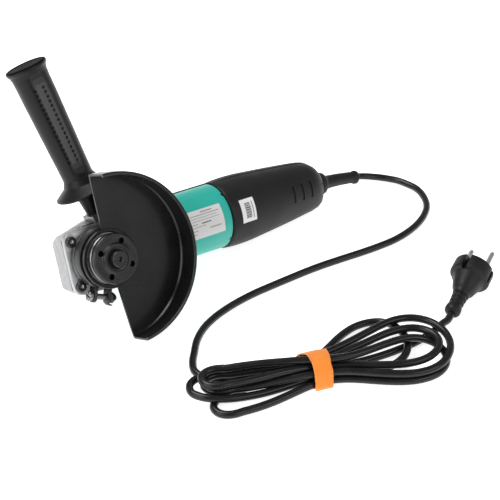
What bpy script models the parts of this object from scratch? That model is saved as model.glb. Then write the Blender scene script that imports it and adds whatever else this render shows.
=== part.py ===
"""Corded small angle grinder with side handle, disc guard, tied mains cord and two-pin plug.

Tool frame: +X runs from the spindle to the rear along the motor axis, +Y points to
the side handle, +Z runs along the spindle toward its threaded tip.  The origin is
where the spindle axis crosses the motor axis.  Lengths below are millimetres.
"""
import bpy
import bmesh
import math
from mathutils import Matrix, Vector

for _o in list(bpy.data.objects):
    bpy.data.objects.remove(_o, do_unlink=True)

MM = 0.001
GAP = 0.3

# resting attitude of the tool: the ground normal given in tool coordinates
REST_UP = (-0.1112, 0.8965, 0.4288)
REST_HEIGHT = 48.18         # height of the tool origin above the ground
REST_SHIFT = (-131.705, -0.183)     # origin of the tool over the ground

# gear pair
PINION_TEETH = 8
RING_TEETH = 32
GEAR_OUTER = 20.0
GEAR_INNER = 14.0

# how finely round pieces are divided, against the count asked for by each
ROUNDNESS = 0.52

# main sizes
HOUSING_R = 28.3
JUNCTION_X = 129.5
HANDLE_END_X = 248.8
GUARD_R = 69.4
GUARD_Z0 = 33.7
GUARD_Z1 = 35.3
GUARD_LIP_Z = 56.4
GUARD_PHI0 = -85.6
GUARD_PHI1 = 91.7
NECK_R = 20.8
CLAMP_PHI = -111.0
CORD_R = 3.15

# side handle axis (tool frame)
SIDE_P = Vector((15.1, 28.1, 2.4))
SIDE_TILT = math.radians(14.1)
SIDE_DIR = Vector((-math.sin(SIDE_TILT), math.cos(SIDE_TILT), 0.006)).normalized()


# ---------------------------------------------------------------- materials
def material(name, rgb, metallic, roughness):
    m = bpy.data.materials.new(name)
    m.use_nodes = True
    b = m.node_tree.nodes["Principled BSDF"]
    b.inputs["Base Color"].default_value = (rgb[0], rgb[1], rgb[2], 1.0)
    b.inputs["Metallic"].default_value = metallic
    b.inputs["Roughness"].default_value = roughness
    m.diffuse_color = (rgb[0], rgb[1], rgb[2], 1.0)
    return m


CAST = ((0.55, 0.56, 0.57), 0.9, 0.45)
TEAL = ((0.035, 0.50, 0.42), 0.0, 0.42)
BLACK = ((0.018, 0.018, 0.019), 0.0, 0.5)
GUARDP = ((0.010, 0.010, 0.011), 0.3, 0.35)
STEEL = ((0.50, 0.50, 0.51), 1.0, 0.32)
DARKSTEEL = ((0.06, 0.06, 0.065), 0.8, 0.4)
COPPER = ((0.72, 0.33, 0.16), 1.0, 0.35)
BRASS = ((0.72, 0.55, 0.25), 1.0, 0.35)
CARBON = ((0.03, 0.03, 0.03), 0.1, 0.7)
LAMIN = ((0.25, 0.25, 0.27), 0.9, 0.5)
RUBBER = ((0.015, 0.015, 0.015), 0.0, 0.7)
WHITE = ((0.72, 0.71, 0.70), 0.0, 0.5)
ORANGE = ((0.95, 0.33, 0.04), 0.0, 0.8)


# ---------------------------------------------------------------- empties
def empty(name, parent, loc=(0, 0, 0), rot=None):
    e = bpy.data.objects.new(name, None)
    bpy.context.scene.collection.objects.link(e)
    e.empty_display_size = 0.01
    if parent is not None:
        e.parent = parent
    e.location = Vector(loc) * MM
    if rot is not None:
        e.rotation_mode = 'QUATERNION'
        e.rotation_quaternion = rot
    return e


def rest_rotation():
    n = Vector(REST_UP).normalized()
    x = (Vector((1, 0, 0)) - n * n.x).normalized()
    y = n.cross(x)
    return Matrix((x, y, n)).to_quaternion()


TOOL = empty("tool_frame", None, (REST_SHIFT[0], REST_SHIFT[1], REST_HEIGHT), rest_rotation())
ARM = empty("armature_axis", TOOL)
SPIN = empty("spindle_axis", TOOL)
GUARD = empty("guard_axis", TOOL, (0, 0, GUARD_Z0))
SWITCH_P = Vector((114.0, 0.0, -30.4))
SWITCH = empty("switch_slide_axis", TOOL, SWITCH_P)
LOCK_P = Vector((0.0, -11.0, -44.0))
LOCK = empty("lock_slide_axis", TOOL, LOCK_P)
HANDLE = empty("side_handle_axis", TOOL, SIDE_P, Vector((0, 0, 1)).rotation_difference(SIDE_DIR))
GROUND = empty("ground_frame", None)

OFFSET = {TOOL: Vector((0, 0, 0)), ARM: Vector((0, 0, 0)), SPIN: Vector((0, 0, 0)),
          GUARD: Vector((0, 0, GUARD_Z0)), SWITCH: SWITCH_P, LOCK: LOCK_P,
          HANDLE: Vector((0, 0, 0)), GROUND: Vector((0, 0, 0))}


# ---------------------------------------------------------------- mesh makers
AXIS = {
    'Z': Matrix.Identity(4),
    'X': Matrix(((0, 0, 1, 0), (1, 0, 0, 0), (0, 1, 0, 0), (0, 0, 0, 1))),
    'Y': Matrix(((0, 1, 0, 0), (0, 0, 1, 0), (1, 0, 0, 0), (0, 0, 0, 1))),
}


def raw(verts, faces):
    me = bpy.data.meshes.new("m")
    me.from_pydata([tuple(v) for v in verts], [], faces)
    bm = bmesh.new()
    bm.from_mesh(me)
    bmesh.ops.recalc_face_normals(bm, faces=bm.faces)
    if bm.calc_volume(signed=True) < 0:
        bmesh.ops.reverse_faces(bm, faces=bm.faces)
    bm.to_mesh(me)
    bm.free()
    return me


def temp(verts, faces, matrix=None):
    me = raw(verts, faces)
    if matrix is not None:
        me.transform(matrix)
    o = bpy.data.objects.new("tmp", me)
    bpy.context.scene.collection.objects.link(o)
    return o


def place(o, name, parent, look, smooth=35.0):
    """Turn a millimetre object in the tool frame into a named node under its parent."""
    me = o.data
    me.transform(Matrix.Translation(-OFFSET[parent]))
    me.transform(Matrix.Scale(MM, 4))
    o.name = name
    me.name = name
    o.parent = parent
    me.materials.clear()
    me.materials.append(material(name + "_mat", *look))
    if smooth:
        me.shade_smooth()
        me.set_sharp_from_angle(angle=math.radians(smooth))
    return o


def revolve(profile, n=32, axis='Z', matrix=None, closed=None):
    """Solid of revolution. profile is (radius, along); ends on the axis or loops."""
    if closed is None:
        closed = min(r for r, _ in profile) > 1e-9
    n = max(10, 2 * int(round(n * ROUNDNESS / 2)))
    verts, faces, rings = [], [], []
    for r, t in profile:
        if r < 1e-9:
            rings.append([len(verts)])
            verts.append((0, 0, t))
        else:
            rings.append(list(range(len(verts), len(verts) + n)))
            for k in range(n):
                a = 2 * math.pi * k / n
                verts.append((r * math.cos(a), r * math.sin(a), t))
    pairs = list(zip(rings, rings[1:]))
    if closed:
        pairs.append((rings[-1], rings[0]))
    for p, q in pairs:
        if len(p) == 1 and len(q) == 1:
            continue
        for k in range(n):
            k2 = (k + 1) % n
            if len(p) == 1:
                faces.append((p[0], q[k], q[k2]))
            elif len(q) == 1:
                faces.append((p[k], q[0], p[k2]))
            else:
                faces.append((p[k], q[k], q[k2], p[k2]))
    m = AXIS[axis]
    if matrix is not None:
        m = matrix @ m
    return temp(verts, faces, m)


def columns(cols, axis='Z', matrix=None):
    """Ring solid from angular columns: cols = [(angle_deg, [(r, t), ...loop])]."""
    verts, faces = [], []
    k = len(cols[0][1])
    for ang, loop in cols:
        a = math.radians(ang)
        for r, t in loop:
            verts.append((r * math.cos(a), r * math.sin(a), t))
    n = len(cols)
    for i in range(n):
        j = (i + 1) % n
        for p in range(k):
            q = (p + 1) % k
            faces.append((i * k + p, j * k + p, j * k + q, i * k + q))
    m = AXIS[axis]
    if matrix is not None:
        m = matrix @ m
    return temp(verts, faces, m)


def rings_solid(rings, cap_first=True, cap_last=True, loop=False, matrix=None):
    """Loft through rings that share one vertex count."""
    n = len(rings[0])
    verts = [v for r in rings for v in r]
    faces = []
    m = len(rings)
    last = m if loop else m - 1
    for i in range(last):
        j = (i + 1) % m
        for k in range(n):
            k2 = (k + 1) % n
            faces.append((i * n + k, i * n + k2, j * n + k2, j * n + k))
    if not loop:
        if cap_first:
            faces.append(tuple(range(n)))
        if cap_last:
            faces.append(tuple((m - 1) * n + k for k in range(n)))
    return temp(verts, faces, matrix)


def super_ring(x, a, p=2.0, n=48, cy=0.0, cz=0.0, b=None):
    """Superellipse ring in the YZ plane at x."""
    out = []
    b = a if b is None else b
    for k in range(n):
        t = 2 * math.pi * k / n
        c, s = math.cos(t), math.sin(t)
        if p == 2.0 and a == b:
            r = a
        else:
            r = 1.0 / (abs(c / a) ** p + abs(s / b) ** p) ** (1.0 / p)
        out.append((x, cy + r * c, cz + r * s))
    return out


def box(x0, x1, y0, y1, z0, z1, matrix=None):
    v = [(x0, y0, z0), (x1, y0, z0), (x1, y1, z0), (x0, y1, z0),
         (x0, y0, z1), (x1, y0, z1), (x1, y1, z1), (x0, y1, z1)]
    f = [(0, 3, 2, 1), (4, 5, 6, 7), (0, 1, 5, 4), (1, 2, 6, 5), (2, 3, 7, 6), (3, 0, 4, 7)]
    return temp(v, f, matrix)


def prism(points, z0, z1, matrix=None):
    n = len(points)
    v = [(x, y, z0) for x, y in points] + [(x, y, z1) for x, y in points]
    f = [tuple(range(n)), tuple(range(n, 2 * n))]
    for k in range(n):
        k2 = (k + 1) % n
        f.append((k, k2, n + k2, n + k))
    return temp(v, f, matrix)


def cyl(r, t0, t1, n=24, axis='Z', matrix=None):
    return revolve([(0, t0), (r, t0), (r, t1), (0, t1)], n, axis, matrix, closed=False)


def sweep(path, radii, n=12, closed=False):
    """Tube along a path with its own radius at every point."""
    pts = [Vector(p) for p in path]
    m = len(pts)
    tang = []
    for i in range(m):
        if closed:
            d = pts[(i + 1) % m] - pts[i - 1]
        else:
            d = pts[min(i + 1, m - 1)] - pts[max(i - 1, 0)]
        tang.append(d.normalized())
    up = Vector((0, 0, 1)) if abs(tang[0].z) < 0.9 else Vector((1, 0, 0))
    nrm = (up - tang[0] * up.dot(tang[0])).normalized()
    frames = []
    for i in range(m):
        if i:
            nrm = (nrm - tang[i] * nrm.dot(tang[i])).normalized()
        frames.append((nrm.copy(), tang[i].cross(nrm)))
    twist = 0.0
    if closed:
        e = (frames[-1][0] - tang[0] * frames[-1][0].dot(tang[0])).normalized()
        twist = math.atan2(e.dot(frames[0][1]), e.dot(frames[0][0]))
    rings = []
    for i in range(m):
        u, w = frames[i]
        rr = radii[i] if isinstance(radii, (list, tuple)) else radii
        ring = []
        for k in range(n):
            a = 2 * math.pi * k / n - (twist * i / m if closed else 0.0)
            ring.append(pts[i] + (u * math.cos(a) + w * math.sin(a)) * rr)
        rings.append(ring)
    return rings_solid(rings, loop=closed)


def clean(me):
    """Merge coincident points, drop slivers and loose zero-volume shells."""
    bm = bmesh.new()
    bm.from_mesh(me)
    bmesh.ops.remove_doubles(bm, verts=bm.verts, dist=0.0001)
    bmesh.ops.dissolve_degenerate(bm, edges=bm.edges, dist=0.0001)
    todo = set(bm.faces)
    islands = []
    while todo:
        seed = todo.pop()
        group, stack = [seed], [seed]
        while stack:
            f = stack.pop()
            for e in f.edges:
                for g in e.link_faces:
                    if g in todo:
                        todo.discard(g)
                        group.append(g)
                        stack.append(g)
        islands.append(group)
    if len(islands) > 1:
        big = max(sum(f.calc_area() for f in g) for g in islands)
        doomed = [f for g in islands if sum(f.calc_area() for f in g) < 0.002 * big for f in g]
        bmesh.ops.delete(bm, geom=doomed, context='FACES')
        loose = [v for v in bm.verts if not v.link_faces]
        bmesh.ops.delete(bm, geom=loose, context='VERTS')
    bm.to_mesh(me)
    bm.free()


def combine(target, cutters, op):
    """Exact boolean, kept as a plain mesh."""
    for c in cutters:
        c.hide_render = True
        c.display_type = 'WIRE'
        md = target.modifiers.new("b", 'BOOLEAN')
        md.operation = op
        md.object = c
        md.solver = 'EXACT'
        deps = bpy.context.evaluated_depsgraph_get()
        deps.update()
        me = bpy.data.meshes.new_from_object(target.evaluated_get(deps))
        target.modifiers.clear()
        target.data = me
        bpy.data.objects.remove(c, do_unlink=True)
    clean(target.data)
    return target


def cut(target, *cutters):
    return combine(target, cutters, 'DIFFERENCE')


def add(target, *others):
    return combine(target, others, 'UNION')


def along(p, d):
    """Matrix that maps local Z to direction d at point p."""
    q = Vector((0, 0, 1)).rotation_difference(Vector(d).normalized())
    return Matrix.Translation(Vector(p)) @ q.to_matrix().to_4x4()


# ================================================================ gear head
HEAD_SECTIONS = [
    (-42.5, [(-5.0, 9.0), (-2.0, 12.0), (12.0, 15.5), (27.0, 16.0), (27.0, -27.0), (8.0, -28.0), (-1.5, -26.0), (-5.5, -22.0)]),
    (-39.5, [(-9.5, 12.0), (-4.7, 16.2), (12.0, 20.0), (31.0, 20.5), (31.0, -31.0), (8.0, -32.0), (-4.4, -30.5), (-9.6, -25.5)]),
    (-30.0, [(-14.5, 14.5), (-9.5, 18.5), (11.0, 23.0), (33.0, 24.0), (33.0, -32.0), (5.0, -32.4), (-8.5, -29.8), (-14.5, -25.0)]),
    (-2.0, [(-23.0, 19.5), (-17.5, 23.6), (6.0, 29.3), (33.0, 30.0), (33.0, -30.0), (3.0, -30.0), (-17.0, -27.0), (-23.5, -22.0)]),
    (10.0, [(-26.8, 20.0), (-20.8, 25.8), (3.0, 27.8), (33.0, 29.5), (33.0, -29.5), (3.0, -28.5), (-20.8, -26.0), (-26.8, -20.0)]),
]
SCREWS_REAR = [(23.0, 23.0), (-23.0, 23.0), (-23.0, -23.0), (23.0, -23.0)]
COVER_SCREWS = [(-21.0, 18.7), (-21.0, -18.7), (20.2, 18.7), (20.2, -18.7)]

head = rings_solid([[(x, y, z) for x, y in pts] for z, pts in HEAD_SECTIONS])
flange = rings_solid([super_ring(25.0, 29.2, 5.0, 32), super_ring(26.5, 30.5, 5.0, 32), super_ring(33.0, 30.5, 5.0, 32)])
boss = cyl(8.2, -8.0, 6.2, 28, 'Z', along(SIDE_P, SIDE_DIR))
head = add(head, flange, boss)
head = cut(head,
           revolve([(0, -30.6), (7.3, -30.6), (7.3, -14.0), (16.5, -14.0), (16.5, 0.6), (22.8, 0.6), (22.8, 12.0), (0, 12.0)], 48),
           cyl(14.4, 0.0, 27.0, 32, 'X'),
           cyl(26.5, 26.5, 34.0, 56, 'X'),
           cyl(5.2, -6.0, 7.0, 24, 'Z', along(SIDE_P, SIDE_DIR)),
           cyl(6.35, 5.1, 7.0, 24, 'Z', along(SIDE_P, SIDE_DIR)),
           cyl(7.6, -46.0, -38.6, 28, 'Z', Matrix.Translation((0, -11, 0))),
           cyl(5.0, -39.0, -34.0, 24, 'Z', Matrix.Translation((0, -11, 0))),
           cyl(2.3, -35.0, 2.0, 20, 'Z', Matrix.Translation((0, -11, 0))))
for x, y in COVER_SCREWS:
    head = cut(head, cyl(2.1, 2.5, 11.0, 16, 'Z', Matrix.Translation((x, y, 0))))
for y, z in SCREWS_REAR:
    head = cut(head, cyl(2.1, 21.0, 34.0, 16, 'X', Matrix.Translation((0, y, z))))
place(head, "gear_head_housing", TOOL, CAST, 28)


def zring(z, a, p=2.0, n=32):
    return [(q[1], q[2], z) for q in super_ring(0, a, p, n)]


cover = rings_solid([zring(10.3, 26.7, 7.0), zring(14.0, 26.7, 7.0), zring(14.0, NECK_R + 1.4), zring(15.4, NECK_R),
                     zring(33.2, NECK_R), zring(33.2, 9.0), zring(19.3, 9.0), zring(19.3, 14.3), zring(10.3, 14.3)], loop=True)
for x, y in COVER_SCREWS:
    cover = cut(cover, cyl(2.2, 9.0, 15.0, 16, 'Z', Matrix.Translation((x, y, 0))))
# relief beside the rear flange and under the side handle boss
cover = cut(cover, box(24.6, 32.0, -32.0, 32.0, 9.0, 14.9), cyl(8.7, -12.0, 7.0, 28, 'Z', along(SIDE_P, SIDE_DIR)))
place(cover, "bearing_cover", TOOL, CAST, 28)

for i, (x, y) in enumerate(COVER_SCREWS):
    s = revolve([(0, 4.0), (1.6, 4.0), (1.85, 4.6), (1.85, 14.3), (4.2, 14.3), (4.3, 14.8), (4.3, 17.2), (3.9, 17.6),
                 (2.0, 17.6), (2.0, 15.6), (0, 15.6)], 20, 'Z', Matrix.Translation((x, y, 0)))
    place(s, "cover_screw_%d" % (i + 1), TOOL, DARKSTEEL)

bearing_plate = revolve([(13.3, 26.8), (26.2, 26.8), (26.2, 32.8), (15.6, 32.8), (15.6, 37.2), (9.0, 37.2), (9.0, 35.8), (13.3, 35.8)], 44, 'X')
place(bearing_plate, "bearing_plate", TOOL, CAST)

# ================================================================ spindle set
spindle = revolve([(0, -30.2), (3.6, -30.2), (4.0, -29.7), (4.0, -14.6), (5.8, -14.6), (5.8, 19.6), (8.3, 19.6), (8.3, 35.3),
                   (6.9, 35.3), (6.9, 50.8), (6.3, 51.4), (1.8, 51.4), (1.8, 49.2), (0, 48.2)], 36)
spindle = cut(spindle, box(7.0, 9.0, -9, 9, 29.0, 34.5), box(-9.0, -7.0, -9, 9, 29.0, 34.5))
place(spindle, "spindle", SPIN, STEEL)

TIP, ROOT = 0.222, 0.31
ring_cols = []
for k in range(RING_TEETH):
    c = 360.0 / RING_TEETH * (k + 0.5)
    for da, h in ((-3.4, ROOT), (-0.9, TIP), (0.9, TIP), (3.4, ROOT)):
        ring_cols.append((c + da, [(6.1, 9.8), (6.1, 4.4), (GEAR_INNER, GEAR_INNER * h),
                                   (GEAR_OUTER, GEAR_OUTER * h), (20.8, 9.8)]))
ring = columns(ring_cols)
for k in range(2):
    a = math.radians(90 + 180 * k)
    ring = cut(ring, cyl(2.5, 3.0, 11.0, 16, 'Z', Matrix.Translation((11 * math.cos(a), 11 * math.sin(a), 0)) @ Matrix.Rotation(0.23, 4, 'Z')))
place(ring, "crown_gear", SPIN, STEEL, 25)

inner_flange = revolve([(7.2, 35.6), (19.4, 35.6), (20.4, 36.4), (20.4, 38.3), (19.9, 38.9), (12.0, 38.9), (12.0, 38.2), (11.0, 38.2), (11.0, 40.7), (7.2, 40.7)], 44)
place(inner_flange, "inner_flange", SPIN, DARKSTEEL)

nut = revolve([(7.2, 41.0), (19.8, 41.0), (20.7, 41.8), (20.7, 44.2), (19.9, 45.0), (13.2, 45.0), (12.6, 45.6), (12.6, 46.8), (11.8, 47.4), (9.6, 47.4), (9.2, 46.6), (7.2, 46.6)], 48)
for k in range(4):
    a = math.radians(59 + 90 * k)
    nut = cut(nut, cyl(2.5, 42.6, 46.0, 16, 'Z', Matrix.Translation((15 * math.cos(a), 15 * math.sin(a), 0))))
place(nut, "lock_nut", SPIN, DARKSTEEL)


def ball_bearing(name, parent, axis, r0, r1, t0, t1, n=36):
    """Sealed bearing shown as its two races and shields in one outline."""
    a = (r1 - r0)
    w = 0.4
    o = revolve([(r0, t0), (r0 + 0.28 * a, t0), (r0 + 0.5 * a, t0 + w), (r1 - 0.28 * a, t0), (r1, t0),
                 (r1, t1), (r1 - 0.28 * a, t1), (r0 + 0.5 * a, t1 - w), (r0 + 0.28 * a, t1), (r0, t1)], n, axis)
    return place(o, name, parent, STEEL)


ball_bearing("spindle_bearing", TOOL, 'Z', 6.1, 14.0, 11.0, 19.0)
bush = revolve([(4.3, -29.4), (7.0, -29.4), (7.0, -17.0), (4.3, -17.0)], 28)
place(bush, "spindle_bush", TOOL, BRASS)

# ================================================================ armature
shaft = revolve([(0, 11.6), (2.1, 11.6), (2.5, 12.1), (2.5, 24.0), (4.8, 24.0), (4.8, 36.6), (4.1, 36.6), (4.1, 139.0), (3.2, 139.0),
                 (3.2, 148.8), (2.9, 149.2), (0, 149.2)], 24, 'X')
place(shaft, "armature_shaft", ARM, STEEL)

p_cols = []
PT, PR = 0.292, 0.192
for k in range(PINION_TEETH):
    # one tooth points at +Z where it meets the crown gear
    c = 90.0 + 360.0 / PINION_TEETH * k
    for da, h in ((-16.0, PR), (-3.0, PT), (3.0, PT), (16.0, PR)):
        p_cols.append((c + da, [(2.75, GEAR_INNER), (GEAR_INNER * h if GEAR_INNER * h > 3.05 else 3.05, GEAR_INNER),
                                (GEAR_OUTER * h, GEAR_OUTER), (3.9, 20.6), (3.9, 23.6), (2.75, 23.6)]))
pinion = columns(p_cols, 'X')
place(pinion, "bevel_pinion", ARM, STEEL, 25)

ball_bearing("front_bearing", TOOL, 'X', 5.1, 13.0, 27.5, 35.5)
ball_bearing("rear_bearing", TOOL, 'X', 3.5, 9.5, 141.0, 147.4, 28)

fan_cols = []
for k in range(8):
    c = 360.0 / 8 * k
    for da, h in ((-2.2, 40.6), (-1.7, 46.6), (1.7, 46.6), (2.2, 40.6)):
        fan_cols.append((c + da, [(4.4, 39.0), (4.4, 46.6), (7.6, 46.6), (9.6, h), (23.2, h), (23.4, 39.0)]))
fan = columns(fan_cols, 'X')
place(fan, "cooling_fan", ARM, BLACK, 30)

core_cols = []
for k in range(12):
    c = 30.0 * k
    for da, r in ((-13.2, 12.4), (-12.6, 17.6), (0.0, 17.6), (12.6, 17.6), (13.2, 12.4)):
        core_cols.append((c + da, [(4.4, 58.0), (r, 58.0), (r, 98.0), (4.4, 98.0)]))
core = columns(core_cols, 'X')
place(core, "armature_core", ARM, LAMIN, 30)

for nm, x0, x1 in (("armature_winding_front", 49.9, 57.7), ("armature_winding_rear", 98.3, 107.0)):
    w = revolve([(4.4, x0), (11.5, x0), (14.6, x0 + 2.0), (15.6, 0.5 * (x0 + x1)), (14.6, x1 - 1.6), (12.5, x1), (4.4, x1)], 32, 'X')
    place(w, nm, ARM, COPPER)

com_cols = []
for k in range(12):
    c = 30.0 * k
    for da, d in ((-14.3, 0.6), (-13.6, 0.0), (13.6, 0.0), (14.3, 0.6)):
        com_cols.append((c + da, [(4.4, 108.0), (12.0 - d, 108.0), (10.9 - d, 110.4), (10.9 - d, 124.0), (4.4, 124.0)]))
com = columns(com_cols, 'X')
place(com, "commutator", ARM, COPPER, 30)

# ================================================================ stator and brushes
st_cols = []


def st_loop(ri):
    return [(ri, 57.0), (25.2, 57.0), (25.2, 99.0), (ri, 99.0)]


for pole in (90.0, 270.0):
    for a, ri in ((-58.0, 18.3), (-44.0, 18.3), (-30.0, 18.3), (-15.0, 18.3), (0.0, 18.3), (15.0, 18.3), (30.0, 18.3), (44.0, 18.3), (58.0, 18.3),
                  (59.0, 22.9), (70.0, 22.9), (81.0, 22.9), (82.0, 20.4), (90.0, 20.4), (98.0, 20.4), (99.0, 22.9), (110.0, 22.9), (121.0, 22.9)):
        st_cols.append((pole + a, st_loop(ri)))
stator = columns(st_cols, 'X')
place(stator, "stator_core", TOOL, LAMIN, 25)

for i, pole in enumerate((90.0, 270.0)):
    path = []
    half = 70.0
    rr = 20.65

    def cp(x, a):
        t = math.radians(a)
        return (x, rr * math.cos(t), rr * math.sin(t))
    for x in (56.0, 67.0, 78.0, 89.0, 100.0):
        path.append(cp(x, pole - half))
    for k in range(0, 11):
        a = -half + 14.0 * k
        e = 103.2 - (1.4 if k in (0, 10) else 0.0)
        path.append(cp(e, pole + a))
    for x in (100.0, 89.0, 78.0, 67.0, 56.0):
        path.append(cp(x, pole + half))
    for k in range(10, -1, -1):
        a = -half + 14.0 * k
        e = 53.2 + (1.2 if k in (0, 10) else 0.0)
        path.append(cp(e, pole + a))
    coil = sweep(path, 1.75, 6, closed=True)
    place(coil, "field_coil_%d" % (i + 1), TOOL, COPPER, 50)

baffle = revolve([(16.4, 48.0), (25.3, 48.0), (25.3, 50.6), (23.4, 50.6), (22.6, 49.5), (16.4, 49.5)], 40, 'X')
place(baffle, "air_baffle", TOOL, BLACK)

for i, sgn in enumerate((1.0, -1.0)):
    lo, hi = (12.6, 24.9) if sgn > 0 else (-24.9, -12.6)
    holder = box(112.0, 123.0, lo, hi, -4.6, 4.6)
    hole = box(113.4, 121.6, min(lo, hi) - 1, max(lo, hi) + 1, -3.2, 3.2)
    holder = cut(holder, hole)
    place(holder, "brush_holder_%d" % (i + 1), TOOL, BRASS, 0)
    lo, hi = (11.2, 18.6) if sgn > 0 else (-18.6, -11.2)
    place(box(113.8, 121.2, lo, hi, -2.8, 2.8), "carbon_brush_%d" % (i + 1), TOOL, CARBON, 0)

bracket = revolve([(9.8, 140.4), (12.4, 140.4), (12.4, 143.0), (23.6, 143.0), (23.6, 146.0), (12.4, 146.0), (12.4, 149.0), (9.8, 149.0)], 40, 'X')
for k in range(4):
    a = math.radians(45 + 90 * k)
    m = Matrix.Translation((0, 18.0 * math.cos(a), 18.0 * math.sin(a)))
    bracket = cut(bracket, cyl(4.2, 142.0, 147.0, 20, 'X', m))
# passage for the switch rod
bracket = cut(bracket, box(139.0, 150.0, -3.0, 3.0, -25.0, -21.0))
place(bracket, "rear_bearing_bracket", TOOL, BLACK)

# ================================================================ motor housing
N = 32
mh = rings_solid([super_ring(33.4, 30.5, 5.0, N), super_ring(44.0, 30.5, 5.0, N), super_ring(44.0, 28.9, 2.0, N), super_ring(60.0, HOUSING_R + 0.1, 2.0, N),
                  super_ring(JUNCTION_X - 0.8, HOUSING_R, 2.0, N), super_ring(JUNCTION_X, HOUSING_R - 0.8, 2.0, N), super_ring(JUNCTION_X, 26.4, 2.0, N),
                  super_ring(147.0, 26.4, 2.0, N), super_ring(147.0, 23.9, 2.0, N), super_ring(126.0, 23.9, 2.0, N), super_ring(125.0, 25.6, 2.0, N),
                  super_ring(33.4, 25.6, 2.0, N)], loop=True)
for y, z in SCREWS_REAR:
    mh = cut(mh, cyl(2.2, 32.0, 46.0, 16, 'X', Matrix.Translation((0, y, z))))
# slot of the slide switch, on the side away from the disc
mh = cut(mh, box(103.0, 124.0, -2.7, 2.7, -32.0, -22.0))
# exhaust slots beside the fan
for sgn in (1.0, -1.0):
    for dz in (-8.0, 0.0, 8.0):
        y0, y1 = (24.0, 33.0) if sgn > 0 else (-33.0, -24.0)
        mh = cut(mh, box(38.5, 46.5, y0, y1, dz - 1.6, dz + 1.6))
place(mh, "motor_housing", TOOL, TEAL, 30)

for i, (y, z) in enumerate(SCREWS_REAR):
    s = revolve([(0, 22.5), (1.5, 22.5), (1.8, 23.0), (1.8, 44.3), (3.3, 44.3), (3.3, 47.0), (2.9, 47.4), (0, 47.4)], 18, 'X', Matrix.Translation((0, y, z)))
    place(s, "head_screw_%d" % (i + 1), TOOL, DARKSTEEL)

# ================================================================ rear handle, two shells
OUT = [(JUNCTION_X + 0.3, 29.0), (132.0, 29.8), (150.0, 29.8), (178.0, 27.9), (204.0, 25.6),
       (226.0, 23.2), (234.5, 20.6), (240.7, 15.8), (244.1, 10.6)]
INN = [(238.5, 8.2), (237.9, 13.0), (233.5, 17.6), (224.5, 20.4), (204.0, 22.9), (178.0, 25.2), (149.0, 26.8), (JUNCTION_X + 0.3, 26.8)]


def shell():
    rr = [super_ring(x, r, 2.0, 36) for x, r in OUT] + [super_ring(244.3, 8.2, 2.0, 36)] + [super_ring(x, r, 2.0, 36) for x, r in INN]
    return rings_solid(rr, loop=True)


front_half = shell()
front_half = cut(front_half, box(100, 300, -60, 60, -60, 0.12))
for k in range(3):
    x0 = 197.2 + 10.8 * k
    front_half = cut(front_half, box(x0, x0 + 2.8, -7.0, 8.0, 15.0, 32.0))
place(front_half, "rear_handle_shell_disc_side", TOOL, BLACK, 35)

back_half = shell()
back_half = cut(back_half, box(100, 300, -60, 60, -0.12, 60))
back_half = add(back_half, box(222.5, 229.5, 8.2, 13.4, -16.6, -5.2), box(222.5, 229.5, -13.4, -8.2, -16.6, -5.2))
for k in range(3):
    x0 = 197.2 + 10.8 * k
    back_half = cut(back_half, box(x0, x0 + 2.8, -7.0, 8.0, -32.0, -18.0))
for y in (11.2, -11.2):
    back_half = cut(back_half, cyl(1.5, -15.0, -4.0, 12, 'Z', Matrix.Translation((226.0, y, 0))))
place(back_half, "rear_handle_shell_back_side", TOOL, BLACK, 35)

clamp_bar = box(223.0, 229.0, -13.6, 13.6, -4.9, -3.6)
clamp_bar = add(clamp_bar, box(223.0, 229.0, -4.6, 4.6, -6.4, -3.8))
for y in (11.2, -11.2):
    clamp_bar = cut(clamp_bar, cyl(1.6, -8.0, 0.0, 12, 'Z', Matrix.Translation((226.0, y, 0))))
place(clamp_bar, "cord_clamp", TOOL, BLACK, 0)
for i, y in enumerate((11.2, -11.2)):
    s = revolve([(0, -13.5), (1.2, -13.5), (1.2, -3.3), (2.9, -3.3), (2.9, -1.6), (2.3, -1.1), (0, -1.1)], 16, 'Z', Matrix.Translation((226.0, y, 0)))
    place(s, "cord_clamp_screw_%d" % (i + 1), TOOL, STEEL)

# ================================================================ switch
block = box(168.0, 200.0, -8.0, 8.0, -13.0, 7.0)
block = add(block, box(172.0, 196.0, -5.0, 5.0, 6.5, 9.0))
block = cut(block, box(167.0, 180.0, -3.4, 3.4, -14.0, -10.4))
place(block, "switch_block", TOOL, BLACK, 0)

knob = prism([(103.6, -28.9), (124.4, -28.9), (123.6, -31.2), (121.0, -32.2), (118.6, -31.0), (116.2, -32.6), (113.8, -31.0),
              (111.4, -32.6), (109.0, -31.0), (106.6, -32.4), (104.2, -31.2)], -6.6, 6.6,
             Matrix(((1, 0, 0, 0), (0, 0, 1, 0), (0, 1, 0, 0), (0, 0, 0, 1))))
knob = add(knob, box(110.0, 120.0, -2.2, 2.2, -29.5, -24.0))
place(knob, "slide_switch_knob", SWITCH, BLACK, 0)
rod = box(112.0, 164.0, -2.0, 2.0, -23.4, -22.0)
rod = add(rod, box(160.0, 164.0, -2.0, 2.0, -23.0, -9.0), box(163.0, 172.0, -2.0, 2.0, -12.8, -11.6))
place(rod, "switch_rod", SWITCH, STEEL, 0)

# ================================================================ spindle lock
button = revolve([(0, -46.6), (5.9, -46.6), (7.0, -45.7), (7.0, -42.6), (1.9, -42.6), (1.9, -1.1), (1.4, -0.5), (0, -0.5)], 28, 'Z', Matrix.Translation((0, -11, 0)))
place(button, "spindle_lock_button", LOCK, DARKSTEEL)
helix = []
turns = 4.0
for k in range(int(turns * 8) + 1):
    a = 2 * math.pi * k / 8.0
    helix.append((3.35 * math.cos(a), -11 + 3.35 * math.sin(a), -42.0 + 7.4 * k / (turns * 8)))
spring = sweep(helix, 0.45, 5)
place(spring, "spindle_lock_spring", TOOL, STEEL, 60)

# ================================================================ guard
plate_cols = []


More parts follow.
